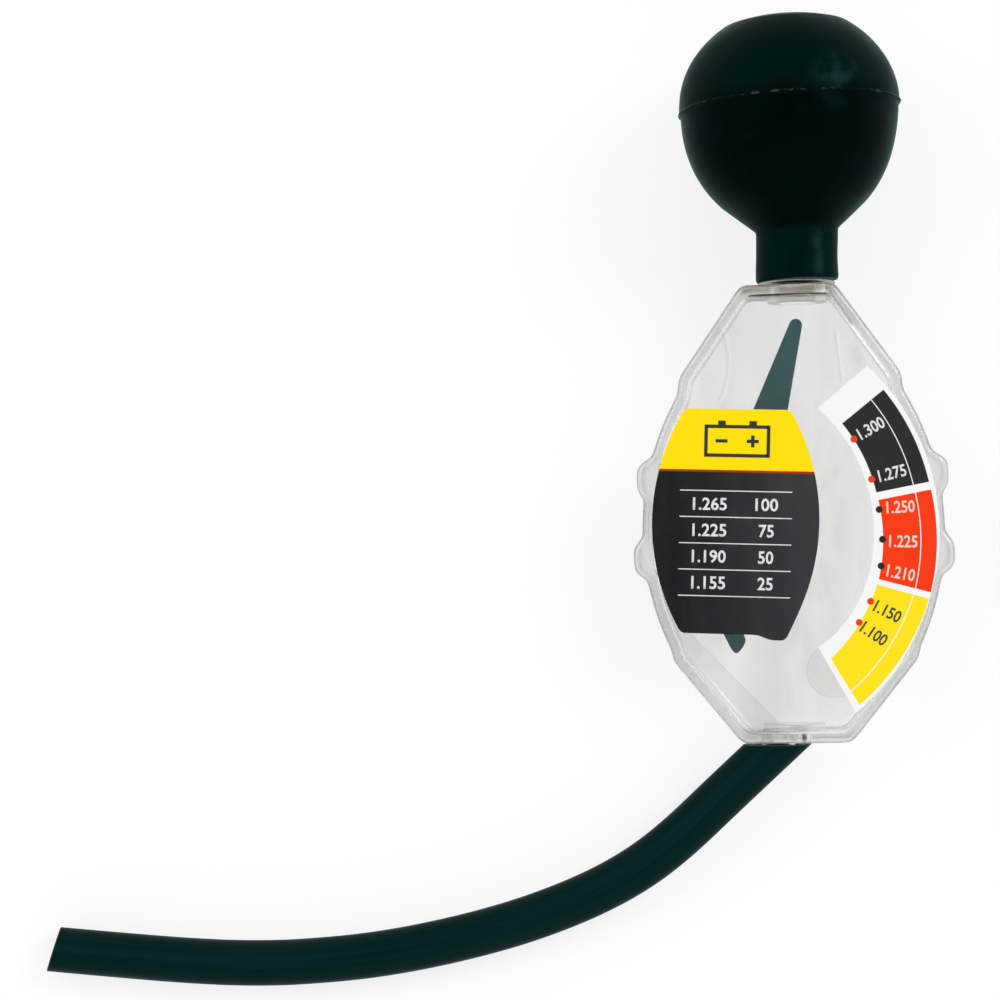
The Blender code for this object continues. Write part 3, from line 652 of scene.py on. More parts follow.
def makeBulb(sizes):
    # The profile turned about the bulb's axis; the ring and small unevennesses are added to its radius
    outer, inner = bulbProfile(sizes)
    angles = np.linspace(0, math.tau, sizes["sides"], endpoint=False)
    radius, height = outer[:, :1], outer[:, 1:]
    waver = 0.75 + 0.25 * np.sin(5 * angles + 1.3) * np.sin(11 * angles)
    ring = sizes["ringHeight"] * np.exp(-(height / sizes["ringHalfWidth"]) ** 2) * waver[None, :]
    whole, fading, gone = sizes["stepFade"]
    below = np.clip(-height / whole, 0, 1) * np.clip((height + gone) / (gone - fading), 0, 1)
    sway = sum(size * np.sin(turns * angles + along * height + phase) for size, turns, along, phase in sizes["sways"])
    outerRadius = radius + ring - sizes["stepBelowRing"] * below + sway * np.clip(radius / sizes["swayRadius"], 0, 1)
    innerRadius = np.repeat(inner[:, :1], len(angles), axis=1)
    outerRadius[0] = innerRadius[-1] = 0
    allRadii = np.vstack([outerRadius, innerRadius])
    heights = np.concatenate([outer[:, 1], inner[:, 1]])[:, None] * np.ones((1, len(angles)))
    sideways = sizes["footSway"] * np.exp(-((heights + sizes["neckTop"]) / sizes["footSwayReach"]) ** 2)
    shape = np.stack([allRadii * np.cos(angles) + sideways, heights, allRadii * np.sin(angles)], axis=-1)
    turn, centre = bulbFrame(sizes)
    points = shape @ np.array(turn).T + np.array(centre)
    return meshPiece("squeezeBulb", points)


def bulbMaterial(sizes):
    # Moulded rubber: bloom in soft patches, a fine grain, rubbed marks, lighter above the ring and on the neck, a
    # painted highlight spot on the upper half, a painted highlight stripe on the neck, and wear with painted
    # highlights on the parting ring
    constants = {"IOR": 1.45, "Specular IOR Level": 0.02, "Specular Tint": (0.3, 1.0, 0.9, 1)}
    constants.update({"Sheen Weight": 0.12, "Sheen Roughness": 0.3, "Sheen Tint": (0.15, 1.0, 0.6, 1)})
    shader = newMaterial("bulbRubber", constants)
    turn, centre = bulbFrame(sizes)
    aside, height = (distanceAlong(shader, turn.col[axis], centre) for axis in (0, 1))
    patches = noise(shader, 55, 4)
    rubbed = noise(shader, 260, 5)
    upper = height.above(0.001, 0.002)
    # Painted highlight: a mottled spot on the upper half
    highlightSpot = objectPlace(shader).vectorMaths("DISTANCE", tuple(centre + turn @ Vector(sizes["highlightSpotPlace"])))
    highlightSpot = (1 - highlightSpot.above(sizes["highlightSpotRadius"], 0.003)) * rubbed.above(0.5, 0.08)
    neck = 1 - height.above(-sizes["neckTop"], 0.0006)
    # Painted highlight: a mottled stripe along the neck
    highlightStripe = neck * aside.between(*sizes["neckHighlightStripe"], 0.0006) * rubbed.above(0.42, 0.12)
    # Bloom and rubbed marks, lighter above the ring and on the neck, plus the painted highlights
    bloomAndHighlight = patches.above(0.55, 0.25) * 0.2 + rubbed.above(0.64, 0.08) * 0.2 + upper * 0.6 + neck * 0.8
    bloomAndHighlight = bloomAndHighlight + highlightSpot * 1.4 + highlightStripe * 1.6
    specks = noise(shader, 700, 4).above(0.56, 0.05) * rubbed.above(0.5, 0.1)
    colour = bloomAndHighlight.maths("MINIMUM", bloomAndHighlight, 1).blend(sizes["colour"], sizes["paleColour"])
    colour = layered(colour, [
        ((bloomAndHighlight - 1).larger(0) * 0.3, sizes["highlightColour"]),
        # Wear on the parting ring, with painted highlights in the same specks
        (height.between(0.00005, 0.0005, 0.0001) * specks, sizes["ringWearAndHighlight"]),
    ])
    roughness = sizes["roughness"] + (patches - 0.5) * 0.3 - rubbed.above(0.62, 0.08) * 0.1
    return paint(shader, colour, roughness, noise(shader, 1800, 3) * 0.5 + rubbed, 0.00005, 0.6)


bulb = makeBulb(bulbSizes)
dress(bulb, bulbMaterial(bulbSizes), "tool", ["bulb"])
print("bulb made")

# The two covers: one outline outside with lugs, one inside without
coverSizes = {
    "topHalfWidth": 0.0094,
    "shoulder": (0.0222, 0.0278),
    "barrelHalfWidth": 0.0302,
    "barrelRadius": 0.055,
    "widestY": -0.0036,
    "barrelTop": 0.0243,
    "barrelBottom": -0.0274,
    "hip": (0.0246, -0.0293),
    "bottomHalfWidth": 0.0109,
    "topCorner": 0.001,
    "bottomCorner": 0.0022,
    "blendCorner": 0.002,
    "hipCorner": 0.0008,
    "lugCentres": (0.0076, -0.00875),
    "lugLength": 0.0085,
    "lugHeight": 0.0021,
    "lugTopShare": 0.62,
    "lugCorner": 0.0024,
    "lugFootCorner": 0.0012,
    "edgeRadius": 0.0011,
    "seamChamfer": 0.0002,
    "fillet": 0.0009,
    "sharpAngle": 26,
    # Past this line, at the lower left, the back cover's inner face rises as a slanting plane
    "slopeLine": ((-0.0144, -0.0322), (-0.0027, -0.0445)),
    "slopeSteepness": 0.2,
    "slopeShade": 0.4,  # how far that plane takes the walls' tone and roughness, as painted shade
    # Rows on both faces, as shares of the way from the middle to the rim
    "outerShares": (0, 0.3, 0.6, 0.85, 0.97, 0.995),
    "innerShares": (0.995, 0.98, 0.006, 0, 0.6, 0.3, 0),  # the third and fourth are added to the line's share
    "lineShares": (0.7, 0.965),  # between which the line's share stays
    "bendRows": 9,  # round an edge or a fillet
    "wallRows": 7,
    "slopeRows": 3,  # rows of the inner face that are shaded with the fillet where the plane slants
    "columns": 900,
    "smoothing": 3,  # in columns
    "spigotHole": 0.0056,
    "nippleX": -0.0035,
    "nippleAngle": math.radians(-137.5),
    "nippleHole": 0.003,
}


def barrelStretch(start, end, sizes, count=10):
    # Corners without a radius on the barrel's arc, from one height to another
    y = np.linspace(start, end, count)
    offset = y - sizes["widestY"]
    x = sizes["barrelHalfWidth"] - sizes["barrelRadius"] + np.sqrt(sizes["barrelRadius"] ** 2 - offset ** 2)
    return np.column_stack([x, y, np.zeros(count)])


def caseCorners(sizes, withLugs):
    # Right side from the top down as (x, y, radius), then the same side mirrored back up
    side = [(sizes["topHalfWidth"], caseSizes["top"], sizes["topCorner"]), (*sizes["shoulder"], sizes["blendCorner"])]
    start = sizes["barrelTop"]
    for centre in sizes["lugCentres"] if withLugs else ():
        half = sizes["lugLength"] / 2
        stretch = barrelStretch(start, centre + half, sizes)
        stretch[-1, 2] = sizes["lugFootCorner"]
        side.extend(stretch)
        crest = barrelStretch(centre, centre, sizes, 1)[0, 0] + sizes["lugHeight"]
        for end in (1, -1):
            side.append((crest, centre + end * sizes["lugTopShare"] * half, sizes["lugCorner"]))
        start = centre - half
    side.extend(barrelStretch(start, sizes["barrelBottom"], sizes, 16))
    side.append((*sizes["hip"], sizes["hipCorner"]))
    side.append((sizes["bottomHalfWidth"], caseSizes["bottom"], sizes["bottomCorner"]))
    side = np.array([tuple(corner) for corner in side])
    return np.vstack([side, side[::-1] * (-1, 1, 1)])


def insetCorners(corners, distance):
    # The same outline moved inwards by a wall; its corners run clockwise, so that inwards is to the right
    here = corners[:, :2]
    before = unit(here - np.roll(here, 1, axis=0))
    after = unit(np.roll(here, -1, axis=0) - here)
    inward = unit(np.stack([before[:, 1] + after[:, 1], -before[:, 0] - after[:, 0]], axis=1))
    depth = distance / (inward * np.stack([after[:, 1], -after[:, 0]], axis=1)).sum(axis=1)
    return np.column_stack([here + inward * depth[:, None], corners[:, 2]])


def roundedOutline(corners, steps=9):
    # Every corner becomes an arc: its centre lies on the bisector and its spokes turn evenly between the sides
    here, radius = corners[:, :2], corners[:, 2]
    back = np.roll(here, 1, axis=0) - here
    ahead = np.roll(here, -1, axis=0) - here
    room = np.minimum(np.linalg.norm(back, axis=1), np.linalg.norm(ahead, axis=1)) / 2
    back, ahead = unit(back), unit(ahead)
    half = np.arccos(np.clip((back * ahead).sum(axis=1), -0.9999999, 1)) / 2
    reach = np.minimum(radius / np.tan(half), room)
    fitted = reach * np.tan(half)
    centre = here + unit(back + ahead) * (fitted / np.sin(half))[:, None]
    first, last = (np.arctan2(*(here + way * reach[:, None] - centre).T[::-1]) for way in (back, ahead))
    turn = (last - first + math.pi) % math.tau - math.pi
    angles = first[:, None] + turn[:, None] * np.linspace(0, 1, steps)[None, :]
    return (centre[:, None] + onCircle(fitted[:, None], angles)).reshape(-1, 2)


def coverOutline(corners, sizes):
    # The rounded outline in equal steps, smoothed by a Gaussian weight over a few neighbours
    even, marks = evenly(roundedOutline(corners), count=sizes["columns"], closed=True)
    offsets = np.arange(len(marks))
    weights = np.exp(-0.5 * (np.minimum(offsets, len(marks) - offsets) / sizes["smoothing"]) ** 2)
    spectrum = np.fft.fft(weights / weights.sum())[:, None]
    return np.fft.ifft(np.fft.fft(even, axis=0) * spectrum, axis=0).real


def outwardOf(outline):
    ahead = unit(np.roll(outline, -1, axis=0) - np.roll(outline, 1, axis=0))
    return np.stack([-ahead[:, 1], ahead[:, 0]], axis=1)


def onSameSpokes(outline, guide):
    # The outline's radius about the middle, read at the guide's angles
    angle = np.arctan2(outline[:, 1], outline[:, 0])
    order = np.argsort(angle)
    wanted = np.arctan2(guide[:, 1], guide[:, 0])
    radius = np.interp(wanted, angle[order], np.linalg.norm(outline, axis=1)[order], period=math.tau)
    return onCircle(radius, wanted)


def seamLevel(points, sizes):
    # Half the gap between the covers, raised to a half round over the spigot's hole in the top wall and over the
    # nipple's slanting one in the bottom wall
    x, y = points[..., 0], points[..., 1]
    spigot = sizes["spigotHole"] ** 2 - (x - bulbSizes["spigotX"]) ** 2
    spigot = np.sqrt(np.clip(spigot, 0, None)) * (y > 0)
    centre = sizes["nippleX"] + (y - caseSizes["bottom"]) / math.tan(sizes["nippleAngle"])
    halfLength = sizes["nippleHole"] / abs(math.sin(sizes["nippleAngle"]))
    nipple = np.clip(1 - ((x - centre) / halfLength) ** 2, 0, None)
    nipple = sizes["nippleHole"] * np.sqrt(nipple) * (y < caseSizes["bottom"] + 2 * caseSizes["wall"])
    return np.maximum(np.maximum(spigot, nipple), caseSizes["gap"] / 2)


def makeCover(name, side, sloping, sizes):
    # Rows of one profile carried round the outline: out over the face, round the edge, down the side wall to
    # the seam, in across it, up the inner wall, round the fillet and back over the inner face to the middle.
    # Two of the inner face's rows follow the line where its slanting plane starts
    outer = coverOutline(caseCorners(sizes, True), sizes)
    inner = coverOutline(insetCorners(caseCorners(sizes, False), caseSizes["wall"]), sizes)
    inner = onSameSpokes(inner, outer)
    outward, innerOutward = outwardOf(outer), outwardOf(inner)
    half = caseSizes["halfDepth"]
    innerHalf = half - caseSizes["wall"]
    edge, chamfer, fillet = sizes["edgeRadius"], sizes["seamChamfer"], sizes["fillet"]
    quarter = np.linspace(0, math.pi / 2, sizes["bendRows"])[:, None]
    wallShares = np.linspace(0, 1, sizes["wallRows"])[:, None]
    start, end = np.array(sizes["slopeLine"])
    across = unit(end - start)[::-1] * (1, -1)

    def rows(points, heights):
        points, heights = np.broadcast_arrays(points, np.asarray(heights)[..., None])
        return np.dstack([points, heights[..., :1]])

    def slopeRise(points):
        return sizes["slopeSteepness"] * np.clip((points - start) @ across, 0, None) * sloping

    def upWall(low, high):
        return low * (1 - wallShares) + high * wallShares

    seam, innerSeam = seamLevel(outer, sizes)[None], seamLevel(inner, sizes)[None]
    bendPoints = outer - (edge * (1 - np.sin(quarter)))[..., None] * outward
    filletPoints = inner - (fillet * (1 - np.cos(quarter)))[..., None] * innerOutward
    innerRim = inner - fillet * innerOutward
    past = innerRim @ across
    crossing = np.where(past > 0, (start @ across) / np.maximum(past, 1e-9), 1)
    shares = np.repeat(np.array(sizes["innerShares"], float)[:, None], len(outer), axis=1)
    shares[2:4] += np.clip(crossing, *sizes["lineShares"])
    facePoints = shares[..., None] * innerRim
    stretches = [
        rows(np.array(sizes["outerShares"])[:, None, None] * (outer - edge * outward), half),
        rows(bendPoints, half - edge * (1 - np.cos(quarter))),
        rows(outer[None], upWall(half - edge, seam + chamfer)),
        rows((outer - chamfer * outward)[None], seam),
        rows(inner[None], upWall(innerSeam, innerHalf - fillet - slopeRise(inner))),
        rows(filletPoints, innerHalf - fillet * (1 - np.sin(quarter)) - slopeRise(filletPoints)),
        rows(facePoints, innerHalf - slopeRise(facePoints)),
    ]
    shape = np.concatenate(stretches)
    shape[..., 2] *= side
    # The UV map's first number is 0 on both faces and 1 on the walls, and changes evenly over the bends between;
    # the fillet and the first rows of the inner face are shaded where they slant
    rise = np.linspace(0, 1, sizes["bendRows"])
    shareOf = zip(stretches, (0, rise, 1, 1, 1, rise[::-1], 0))
    edgeShare = np.concatenate([np.zeros(len(stretch)) + share for stretch, share in shareOf])
    edgeShare = edgeShare[:, None] * np.ones((1, len(outer)))
    fillets = len(shape) - len(facePoints) - sizes["bendRows"]
    slanted = edgeShare[fillets:fillets + sizes["bendRows"] + sizes["slopeRows"]]
    slanted[:] = np.maximum(slanted, sizes["slopeShade"] * sloping * (slopeRise(innerRim) > 0))
    uv = np.stack(np.broadcast_arrays(edgeShare, np.arange(len(outer)) / len(outer)), axis=-1)
    return meshPiece(name, toWorld(shape), sharpAngle=sizes["sharpAngle"], uv=uv)


clearCover = clearMaterial("clearCover", clearLooks, clearLooks["ior"], 1.0, walled=True, lined=True)
clearBack = clearMaterial("clearBack", clearLooks, clearLooks["ior"], 0.8, walled=True, marked=True)
frontCover = makeCover("frontShell", 1, 0, coverSizes)
dress(frontCover, clearCover, "tool", ["front_cover"])
backCover = makeCover("backShell", -1, 1, coverSizes)
dress(backCover, clearBack, "tool", ["back_cover"])
print("covers made")

# Bosses for the pin on both covers, and the peg that holds the bracket
postSizes = {
    "bossRadius": 0.0026,
    "boreRadius": 0.0013,
    "bossEnd": 0.0024,
    "boreFloor": 0.0069,
    "pegPlace": (0.0092 * 0.62, -0.0233 * 0.62),
    "pegRadius": 0.0012,
    "pegTop": -0.0054,
    "round": 0.0003,
    "sides": 48,
    "clear": 0.00003,  # air between a post and the cover's inner face
}


def turnedPost(name, profile, centre, sizes):
    # A closed profile of (radius, height) turned about a line square to the case's face
    profile = np.array(profile)
    angles = np.linspace(0, math.tau, sizes["sides"], endpoint=False)
    places = centre + onCircle(profile[:, :1], angles)
    return meshPiece(name, toWorld(np.dstack([places, profile[:, 1:] * np.ones_like(angles)])))


def makePosts(sizes):
    root = caseSizes["halfDepth"] - caseSizes["wall"] - sizes["clear"]
    radius, bore, end, bend = (sizes[key] for key in ("bossRadius", "boreRadius", "bossEnd", "round"))
    peg, top = sizes["pegRadius"], sizes["pegTop"]
    boss = [(0, root), (radius, root), (radius, end + bend), (radius - 0.3 * bend, end + 0.3 * bend),
            (radius - bend, end), (bore + bend / 2, end), (bore, end + bend / 2), (bore, sizes["boreFloor"]),
            (0, sizes["boreFloor"])]
    mirrored = [(r, -h) for r, h in boss]
    pegProfile = [(0, -root), (peg, -root), (peg, top - bend), (peg - bend, top), (0, top)]
    pivot = caseSizes["pivot"]
    pegCentre = np.add(pivot, sizes["pegPlace"])
    posts = (("frontBoss", boss, pivot), ("backBoss", mirrored, pivot), ("bracketPeg", pegProfile, pegCentre))
    return [turnedPost(*post, sizes) for post in posts]


for post in makePosts(postSizes):
    dress(post, clearTube, "tool")
print("posts made")

# Pieces that keep their CAD shape and get softened edges
pointerLooks = {
    "colour": (0.007, 0.056, 0.058),
    "paleColour": (0.017, 0.082, 0.084),
    # Painted highlight on the rounded edges, paler than the blade
    "edgeHighlightColour": (0.1, 0.19, 0.18),
    "paleEdgeHighlight": (0.15, 0.25, 0.24),
    "roughness": 0.36,
}
metalLooks = {
    "pinSteel": ((0.42, 0.42, 0.41), (0.6, 0.6, 0.6), 0.3),
    "ballastBrass": ((0.45, 0.31, 0.12), (0.62, 0.46, 0.2), 0.32),
}
bracketLooks = {
    "footX": -0.0118,
    "heights": (-0.0291, -0.0285, -0.02764, -0.02596, -0.0245),
    "share": (0.42, 0.44, 0.56, 0.87, 1.0),
    "aside": (-0.0003, -0.0003, -0.00025, -0.0002, 0.0),
    "lift": (0.0004, 0.0002, 0.0, 0.0, 0.0),
}


def pointerMaterial(name, colour, paleColour):
    # Dark teal moulded plastic, a little cloudy
    shader = newMaterial(name, {"IOR": 1.5, "Specular IOR Level": 0.3})
    mottle = noise(shader, 300, 3)
    roughness = pointerLooks["roughness"] + (mottle - 0.5) * 0.2
    colour = mottle.above(0.5, 0.3).blend(colour, paleColour)
    return paint(shader, colour, roughness, noise(shader, 2500, 2), 0.00003, 0.4)


def metalMaterial(name):
    # Turned metal: fine rings of tool marks and a little tarnish
    colour, paleColour, roughness = metalLooks[name]
    shader = newMaterial(name, {"Metallic": 1.0})
    tarnish = noise(shader, 900, 4)
    marks = noise(shader, 1500, 2, (1, 1, 12))
    return paint(shader, tarnish.blend(colour, paleColour), roughness + (tarnish - 0.5) * 0.2, marks, 0.00002, 0.5)


def taperedFoot(points):
    # The bracket's foot narrows to a blunt point: below a height its outline is moved and drawn in by shares
    # that change with the height
    looks = bracketLooks
    share, aside, lift = (np.interp(points[:, 1], looks["heights"], looks[key]) for key in ("share", "aside", "lift"))
    moved = points.copy()
    foot = points[:, 1] < looks["heights"][-1]
    moved[:, 0] = np.where(foot, looks["footX"] + (points[:, 0] - looks["footX"]) * share + aside, points[:, 0])
    moved[:, 1] += lift * foot
    return moved


pointerPlastic = pointerMaterial("pointerPlastic", pointerLooks["colour"], pointerLooks["paleColour"])
# The rounded edges of the pointer and the bracket get a paler copy, a painted highlight
pointerEdgeHighlight = pointerMaterial("pointerEdgeHighlight", pointerLooks["edgeHighlightColour"], pointerLooks["paleEdgeHighlight"])
# Node, piece, material, body, slot, width of its rounded edges, reshaping
keptPieces = (
    ("needle", "pointerBlade", pointerPlastic, "pointer", "pointer_plastic", 0.00035, None),
    ("stop_bracket", "stopBracket", pointerPlastic, "tool", "pointer_plastic", 0.00025, taperedFoot),
    ("pivot_pin", "pivotPin", metalMaterial("pinSteel"), "tool", "pin_steel", 0.0002, None),
    ("needle_ballast", "ballastSlug", metalMaterial("ballastBrass"), "pointer", "ballast_brass", 0.0002, None),
    ("bulb_spigot", "bulbSpigot", clearTube, "tool", "clear_plastic", 0.0002, None),
)
for nodeName, pieceName, material, body, slot, edgeWidth, reshape in keptPieces:
    piece = softEdged(nodeName, pieceName, edgeWidth, reshape)
    dress(piece, material, body, [nodeName])
    # Their rounded edges show the painted highlight
    if material == pointerPlastic:
        piece.data.materials.append(pointerEdgeHighlight)
print("pointer, bracket, pin and spigot dressed")

# Printed labels on the front face
labelSizes = {
    "lift": 0.00003,  # above the face
    "thickness": 0.00012,
    "uvSpan": 0.1,  # metres that the UV map's unit stands for
    "inkLift": 0.000008,
    "inkThickness": 0.00001,
    "softness": 0.04,  # of the print's edges, in millimetres
}
infoSizes = {
    "middle": (-0.0114, -0.0015),
    "turn": math.radians(-2.5),
    "halfHeight": 0.02265,
    "endHalfWidth": 0.0105,
    "halfWidth": 0.01675,
    "cornerRadius": 0.0008,
    "bandLow": 0.01035,
    "lineWidth": 0.00045,
    "curl": 0.001,  # how far the lower edge dips at its right corner
    "curlStart": 0.0042,
    "curlBlend": 0.004,
    "yellow": (0.92, 0.68, 0.0),
    "black": (0.004, 0.0045, 0.005),
    # Lighter tone of the streaks and of the painted light towards the label's right
    "smokeAndSheen": (0.038, 0.043, 0.044),
    "redLine": (0.35, 0.03, 0.01),
}
scaleSizes = {
    "middle": (-0.017, -0.0034),
    # The sheet's edges: radii at the angles below, and the angles of both ends at the inner and outer edge
    "edgeAngles": (-50, -40, -25, 48),
    "edgeRadii": ((0.0318, 0.0326, 0.0332, 0.0331), (0.0467, 0.0465, 0.0461, 0.046)),
    "high": (47.2, 45.0),
    "low": (-47.6, -52.0),
    # The print, in millimetres and degrees
    "band": (34.95, 45.55),
    "divider": (42.31, 42.49),
    "drift": (-0.45, 0.4),  # added to the print's radii from its black end to its red end
    "driftAngles": (12, -17),
    "dotRadius": 0.7,
    # Each zone lies between two straight edges: x, y and direction
    "zones": (
        ("black", (11.06, 18.3, 38.2), (16.54, 3.71, 10.3)),
        ("red", (17.04, 2.22, 10.2), (17.1, -13.66, -15.4)),
        ("yellow", (17.0, -14.8, -16.4), (6.74, -28.91, -59.4)),
    ),
    "redZone": (-17, 10),  # angles between which the dots and the numbers stand on red
    "paper": (0.84, 0.84, 0.84),
    "black": (0.02, 0.0195, 0.018),
    "red": (0.86, 0.036, 0.0015),
    "yellow": (0.91, 0.7, 0.006),
    "dotRed": (0.72, 0.05, 0.01),
    # Number, ring and angle of its dot, ring and angle of its middle, slope of its line
    "marks": (
        ("1.300", 34.54, 31.2, 38.6, 31.3, 28.5),
        ("1.275", 34.3, 16.6, 38.55, 16.5, 12.8),
        ("1.250", 34.45, 6.2, 38.7, 6.2, 1.7),
        ("1.225", 34.85, -3.7, 38.95, -4.0, -2.7),
        ("1.210", 35.2, -12.4, 39.3, -13.3, -12.0),
        ("1.150", 35.3, -24.4, 39.2, -25.2, -28.5),
        ("1.100", 35.2, -32.2, 38.9, -32.8, -35.5),
    ),
    "numberSize": (0.0056, 0.0025),
}


def onLabel(sizes, x, y):
    # Case coordinates of a place on the info label, which is a little turned
    cos, sin = math.cos(sizes["turn"]), math.sin(sizes["turn"])
    return x * cos - y * sin + sizes["middle"][0], x * sin + y * cos + sizes["middle"][1]


def labelSheet(name, flat):
    # A grid of flat label coordinates as a thin closed sheet on the front face, with those coordinates as its UV map
    rows, columns = flat.shape[:2]
    low = caseSizes["halfDepth"] + labelSizes["lift"]
    levels = [np.full((rows, columns), level) for level in (low + labelSizes["thickness"], low)]
    loop = np.concatenate([np.dstack([flat, levels[0]]), np.dstack([flat, levels[1]])[::-1]])
    index = np.arange(2 * rows * columns).reshape(2 * rows, columns)
    faces = [gridFaces(2 * rows, columns, True, False)]
    for column in (0, columns - 1):
        topEdge, underEdge = index[:rows, column], index[rows:, column][::-1]
        faces.append(np.stack([topEdge[:-1], topEdge[1:], underEdge[1:], underEdge[:-1]], axis=-1))
    uv = loop[..., :2] / labelSizes["uvSpan"] + 0.5
    return meshPiece(name, toWorld(loop), np.concatenate(faces), uv=uv)


def makeInfoLabel(sizes):
    # Its half width follows one arc from end to end, less a small round at each corner
    half, corner = sizes["halfHeight"], sizes["cornerRadius"]
    bulge = sizes["halfWidth"] - sizes["endHalfWidth"]
    radius = (half ** 2 + bulge ** 2) / (2 * bulge)
    ends = half - corner * (1 - np.cos(np.linspace(0, math.pi / 2, 7)))
    heights = np.concatenate([ends, np.linspace(half - corner, corner - half, 60)[1:-1], -ends[::-1]])
    widths = np.sqrt(radius ** 2 - heights ** 2) - radius + sizes["halfWidth"]
    past = np.clip(np.abs(heights) - (half - corner), 0, corner)
    widths -= corner - np.sqrt(corner ** 2 - past ** 2)
    across = np.linspace(-1, 1, 25)
    x = widths[:, None] * across
    y = np.repeat(heights[:, None], len(across), axis=1)
    dip = np.clip((x - sizes["curlStart"]) / sizes["curlBlend"], 0, 1)
    y -= sizes["curl"] * np.clip(-y / half, 0, 1) ** 8 * dip * dip * (3 - 2 * dip)
    return labelSheet("infoLabel", np.dstack(onLabel(sizes, x, y)))


def makeScaleLabel(sizes):
    # Between an inner and an outer edge, each a radius that changes with its angle
    steps = np.linspace(0, 1, 90)
    edges = []
    for radii, high, low in zip(sizes["edgeRadii"], sizes["high"], sizes["low"]):
        angles = high * (1 - steps) + low * steps
        edges.append(onCircle(np.interp(angles, sizes["edgeAngles"], radii), np.radians(angles)))
    share = np.linspace(0, 1, 9)[:, None, None]
    return labelSheet("scaleLabel", edges[0] * (1 - share) + edges[1] * share + sizes["middle"])


def labelPlace(wire, sizes):
    # Label coordinates in millimetres from the label's middle, read from the sheet's own UV map
    across = surfaceUv(wire).coordinate(0)
    places = (across, across.also(1))
    span = labelSizes["uvSpan"] * 1000
    return [(place - 0.5) * span - middle * 1000 for place, middle in zip(places, sizes["middle"])]


def finishLabel(shader, colour):
    # Glossy film over the print, a little rubbed
    scuffs = noise(shader, 420, 5)
    roughness = 0.24 + scuffs.above(0.6, 0.1) * 0.18
    return paint(shader, colour, roughness, noise(shader, 120, 2) + scuffs * 0.15, 0.0001, 0.35)


def infoMaterial(sizes):
    # A yellow head, a thin dark red line and a black field with smoky streaks, painted lighter towards the right as
    # painted light on the glossy film
    shader = newMaterial("infoPrint", {"IOR": 1.5, "Specular IOR Level": 0.18})
    x, y = labelPlace(shader, sizes)
    height = y * math.cos(sizes["turn"]) - x * math.sin(sizes["turn"])
    low, soft = sizes["bandLow"] * 1000, labelSizes["softness"]
    streaks = noise(shader, 90, 4, (1.8, 0.6, 1)).above(0.6, 0.16)
    # Painted light: the black field grows lighter towards the right
    litRightwards = x.above(0, sizes["halfWidth"] * 1000)
    return finishLabel(shader, layered((litRightwards * 0.8 + streaks * 0.25).blend(sizes["black"], sizes["smokeAndSheen"]), [
        (height.above(low, soft), sizes["yellow"]),
        (height.between(low - sizes["lineWidth"] * 1000, low, soft), sizes["redLine"]),
    ]))


def scaleMaterial(sizes):
    # A zone is a ring less what lies past its two straight edges; dots are small discs
    shader = newMaterial("scalePrint", {"IOR": 1.5, "Specular IOR Level": 0.25})
    x, y = labelPlace(shader, sizes)
    across, upwards = (place + middle * 1000 for place, middle in zip((x, y), sizes["middle"]))
    soft = labelSizes["softness"]
    limits = dict(zip(("From Min", "From Max", "To Min", "To Max"), (*sizes["driftAngles"], *sizes["drift"])))
    angle = shader.maths("ARCTAN2", y, x) * (180 / math.pi)
    radius = reachOf(x, y) - shader.node("ShaderNodeMapRange", {"clamp": True}, {"Value": angle, **limits})
    ring = radius.between(*sizes["band"], soft) * (1 - radius.between(*sizes["divider"], 0.03))

    def pastEdge(edge):
        # 1 to the left of a straight line from a point in a direction
        direction = math.radians(edge[2])
        distance = (upwards - edge[1]) * math.cos(direction) - (across - edge[0]) * math.sin(direction)
        return distance.above(0, soft)

    layers = []
    for name, highEdge, lowEdge in sizes["zones"]:
        layers.append((ring * pastEdge(lowEdge) * (1 - pastEdge(highEdge)), sizes[name]))
    low, high = sizes["redZone"]
    for text, dotRing, dotAngle, *_ in sizes["marks"]:
        dotX, dotY = onCircle(dotRing, math.radians(dotAngle))
        tone = sizes["black"] if low < dotAngle < high else sizes["dotRed"]
        layers.append((1 - reachOf(x - dotX, y - dotY).above(sizes["dotRadius"], 0.05), tone))
    return finishLabel(shader, layered(sizes["paper"], layers))


dress(makeInfoLabel(infoSizes), infoMaterial(infoSizes), "tool", ["info_label"])
dress(makeScaleLabel(scaleSizes), scaleMaterial(scaleSizes), "tool", ["scale_label"])
print("labels made")

# Ink on the labels: the scale's numbers, a plain table of numbers and a plain battery sign
inkSizes = {
    "boldness": 0.02,
    "tableRows": (("1.265", "100"), ("1.225", "75"), ("1.190", "50"), ("1.155", "25")),
    "tableTop": 0.0035,
    "tableStep": 0.0053,
    "tableColumns": (-0.0052, 0.0062),
    "tableHeight": 0.0026,
    "tableDigit": 0.00152,  # width that one digit takes
    "rule": (0.0225, 0.0002),
    "signY": 0.0162,
    "signSize": (0.0125, 0.0058),
    "signLine": 0.0007,
    "white": (0.74, 0.73, 0.71),
    "pale": (0.92, 0.62, 0.5),
    "black": (0.03, 0.028, 0.025),
    "worn": 0.85,  # share of the ink's colour where it is worn
}


def textMesh(text, width, height):
    # The text as a mesh of the given width and height, centred on zero
    curve = bpy.data.curves.new(text, "FONT")
    curve.body = text
    curve.offset = inkSizes["boldness"]
    curve.resolution_u = 3
    source = addObject("ink", curve)
    bpy.context.view_layer.update()
    mesh = bpy.data.meshes.new_from_object(source.evaluated_get(bpy.context.evaluated_depsgraph_get()))
    bpy.data.objects.remove(source, do_unlink=True)
    points = placesOf(mesh)
    low, high = points.min(axis=0), points.max(axis=0)
    size = np.array([width / (high[0] - low[0]), height / (high[1] - low[1]), 1])
    mesh.vertices.foreach_set("co", ((points - (low + high) / 2) * size).ravel())
    return mesh


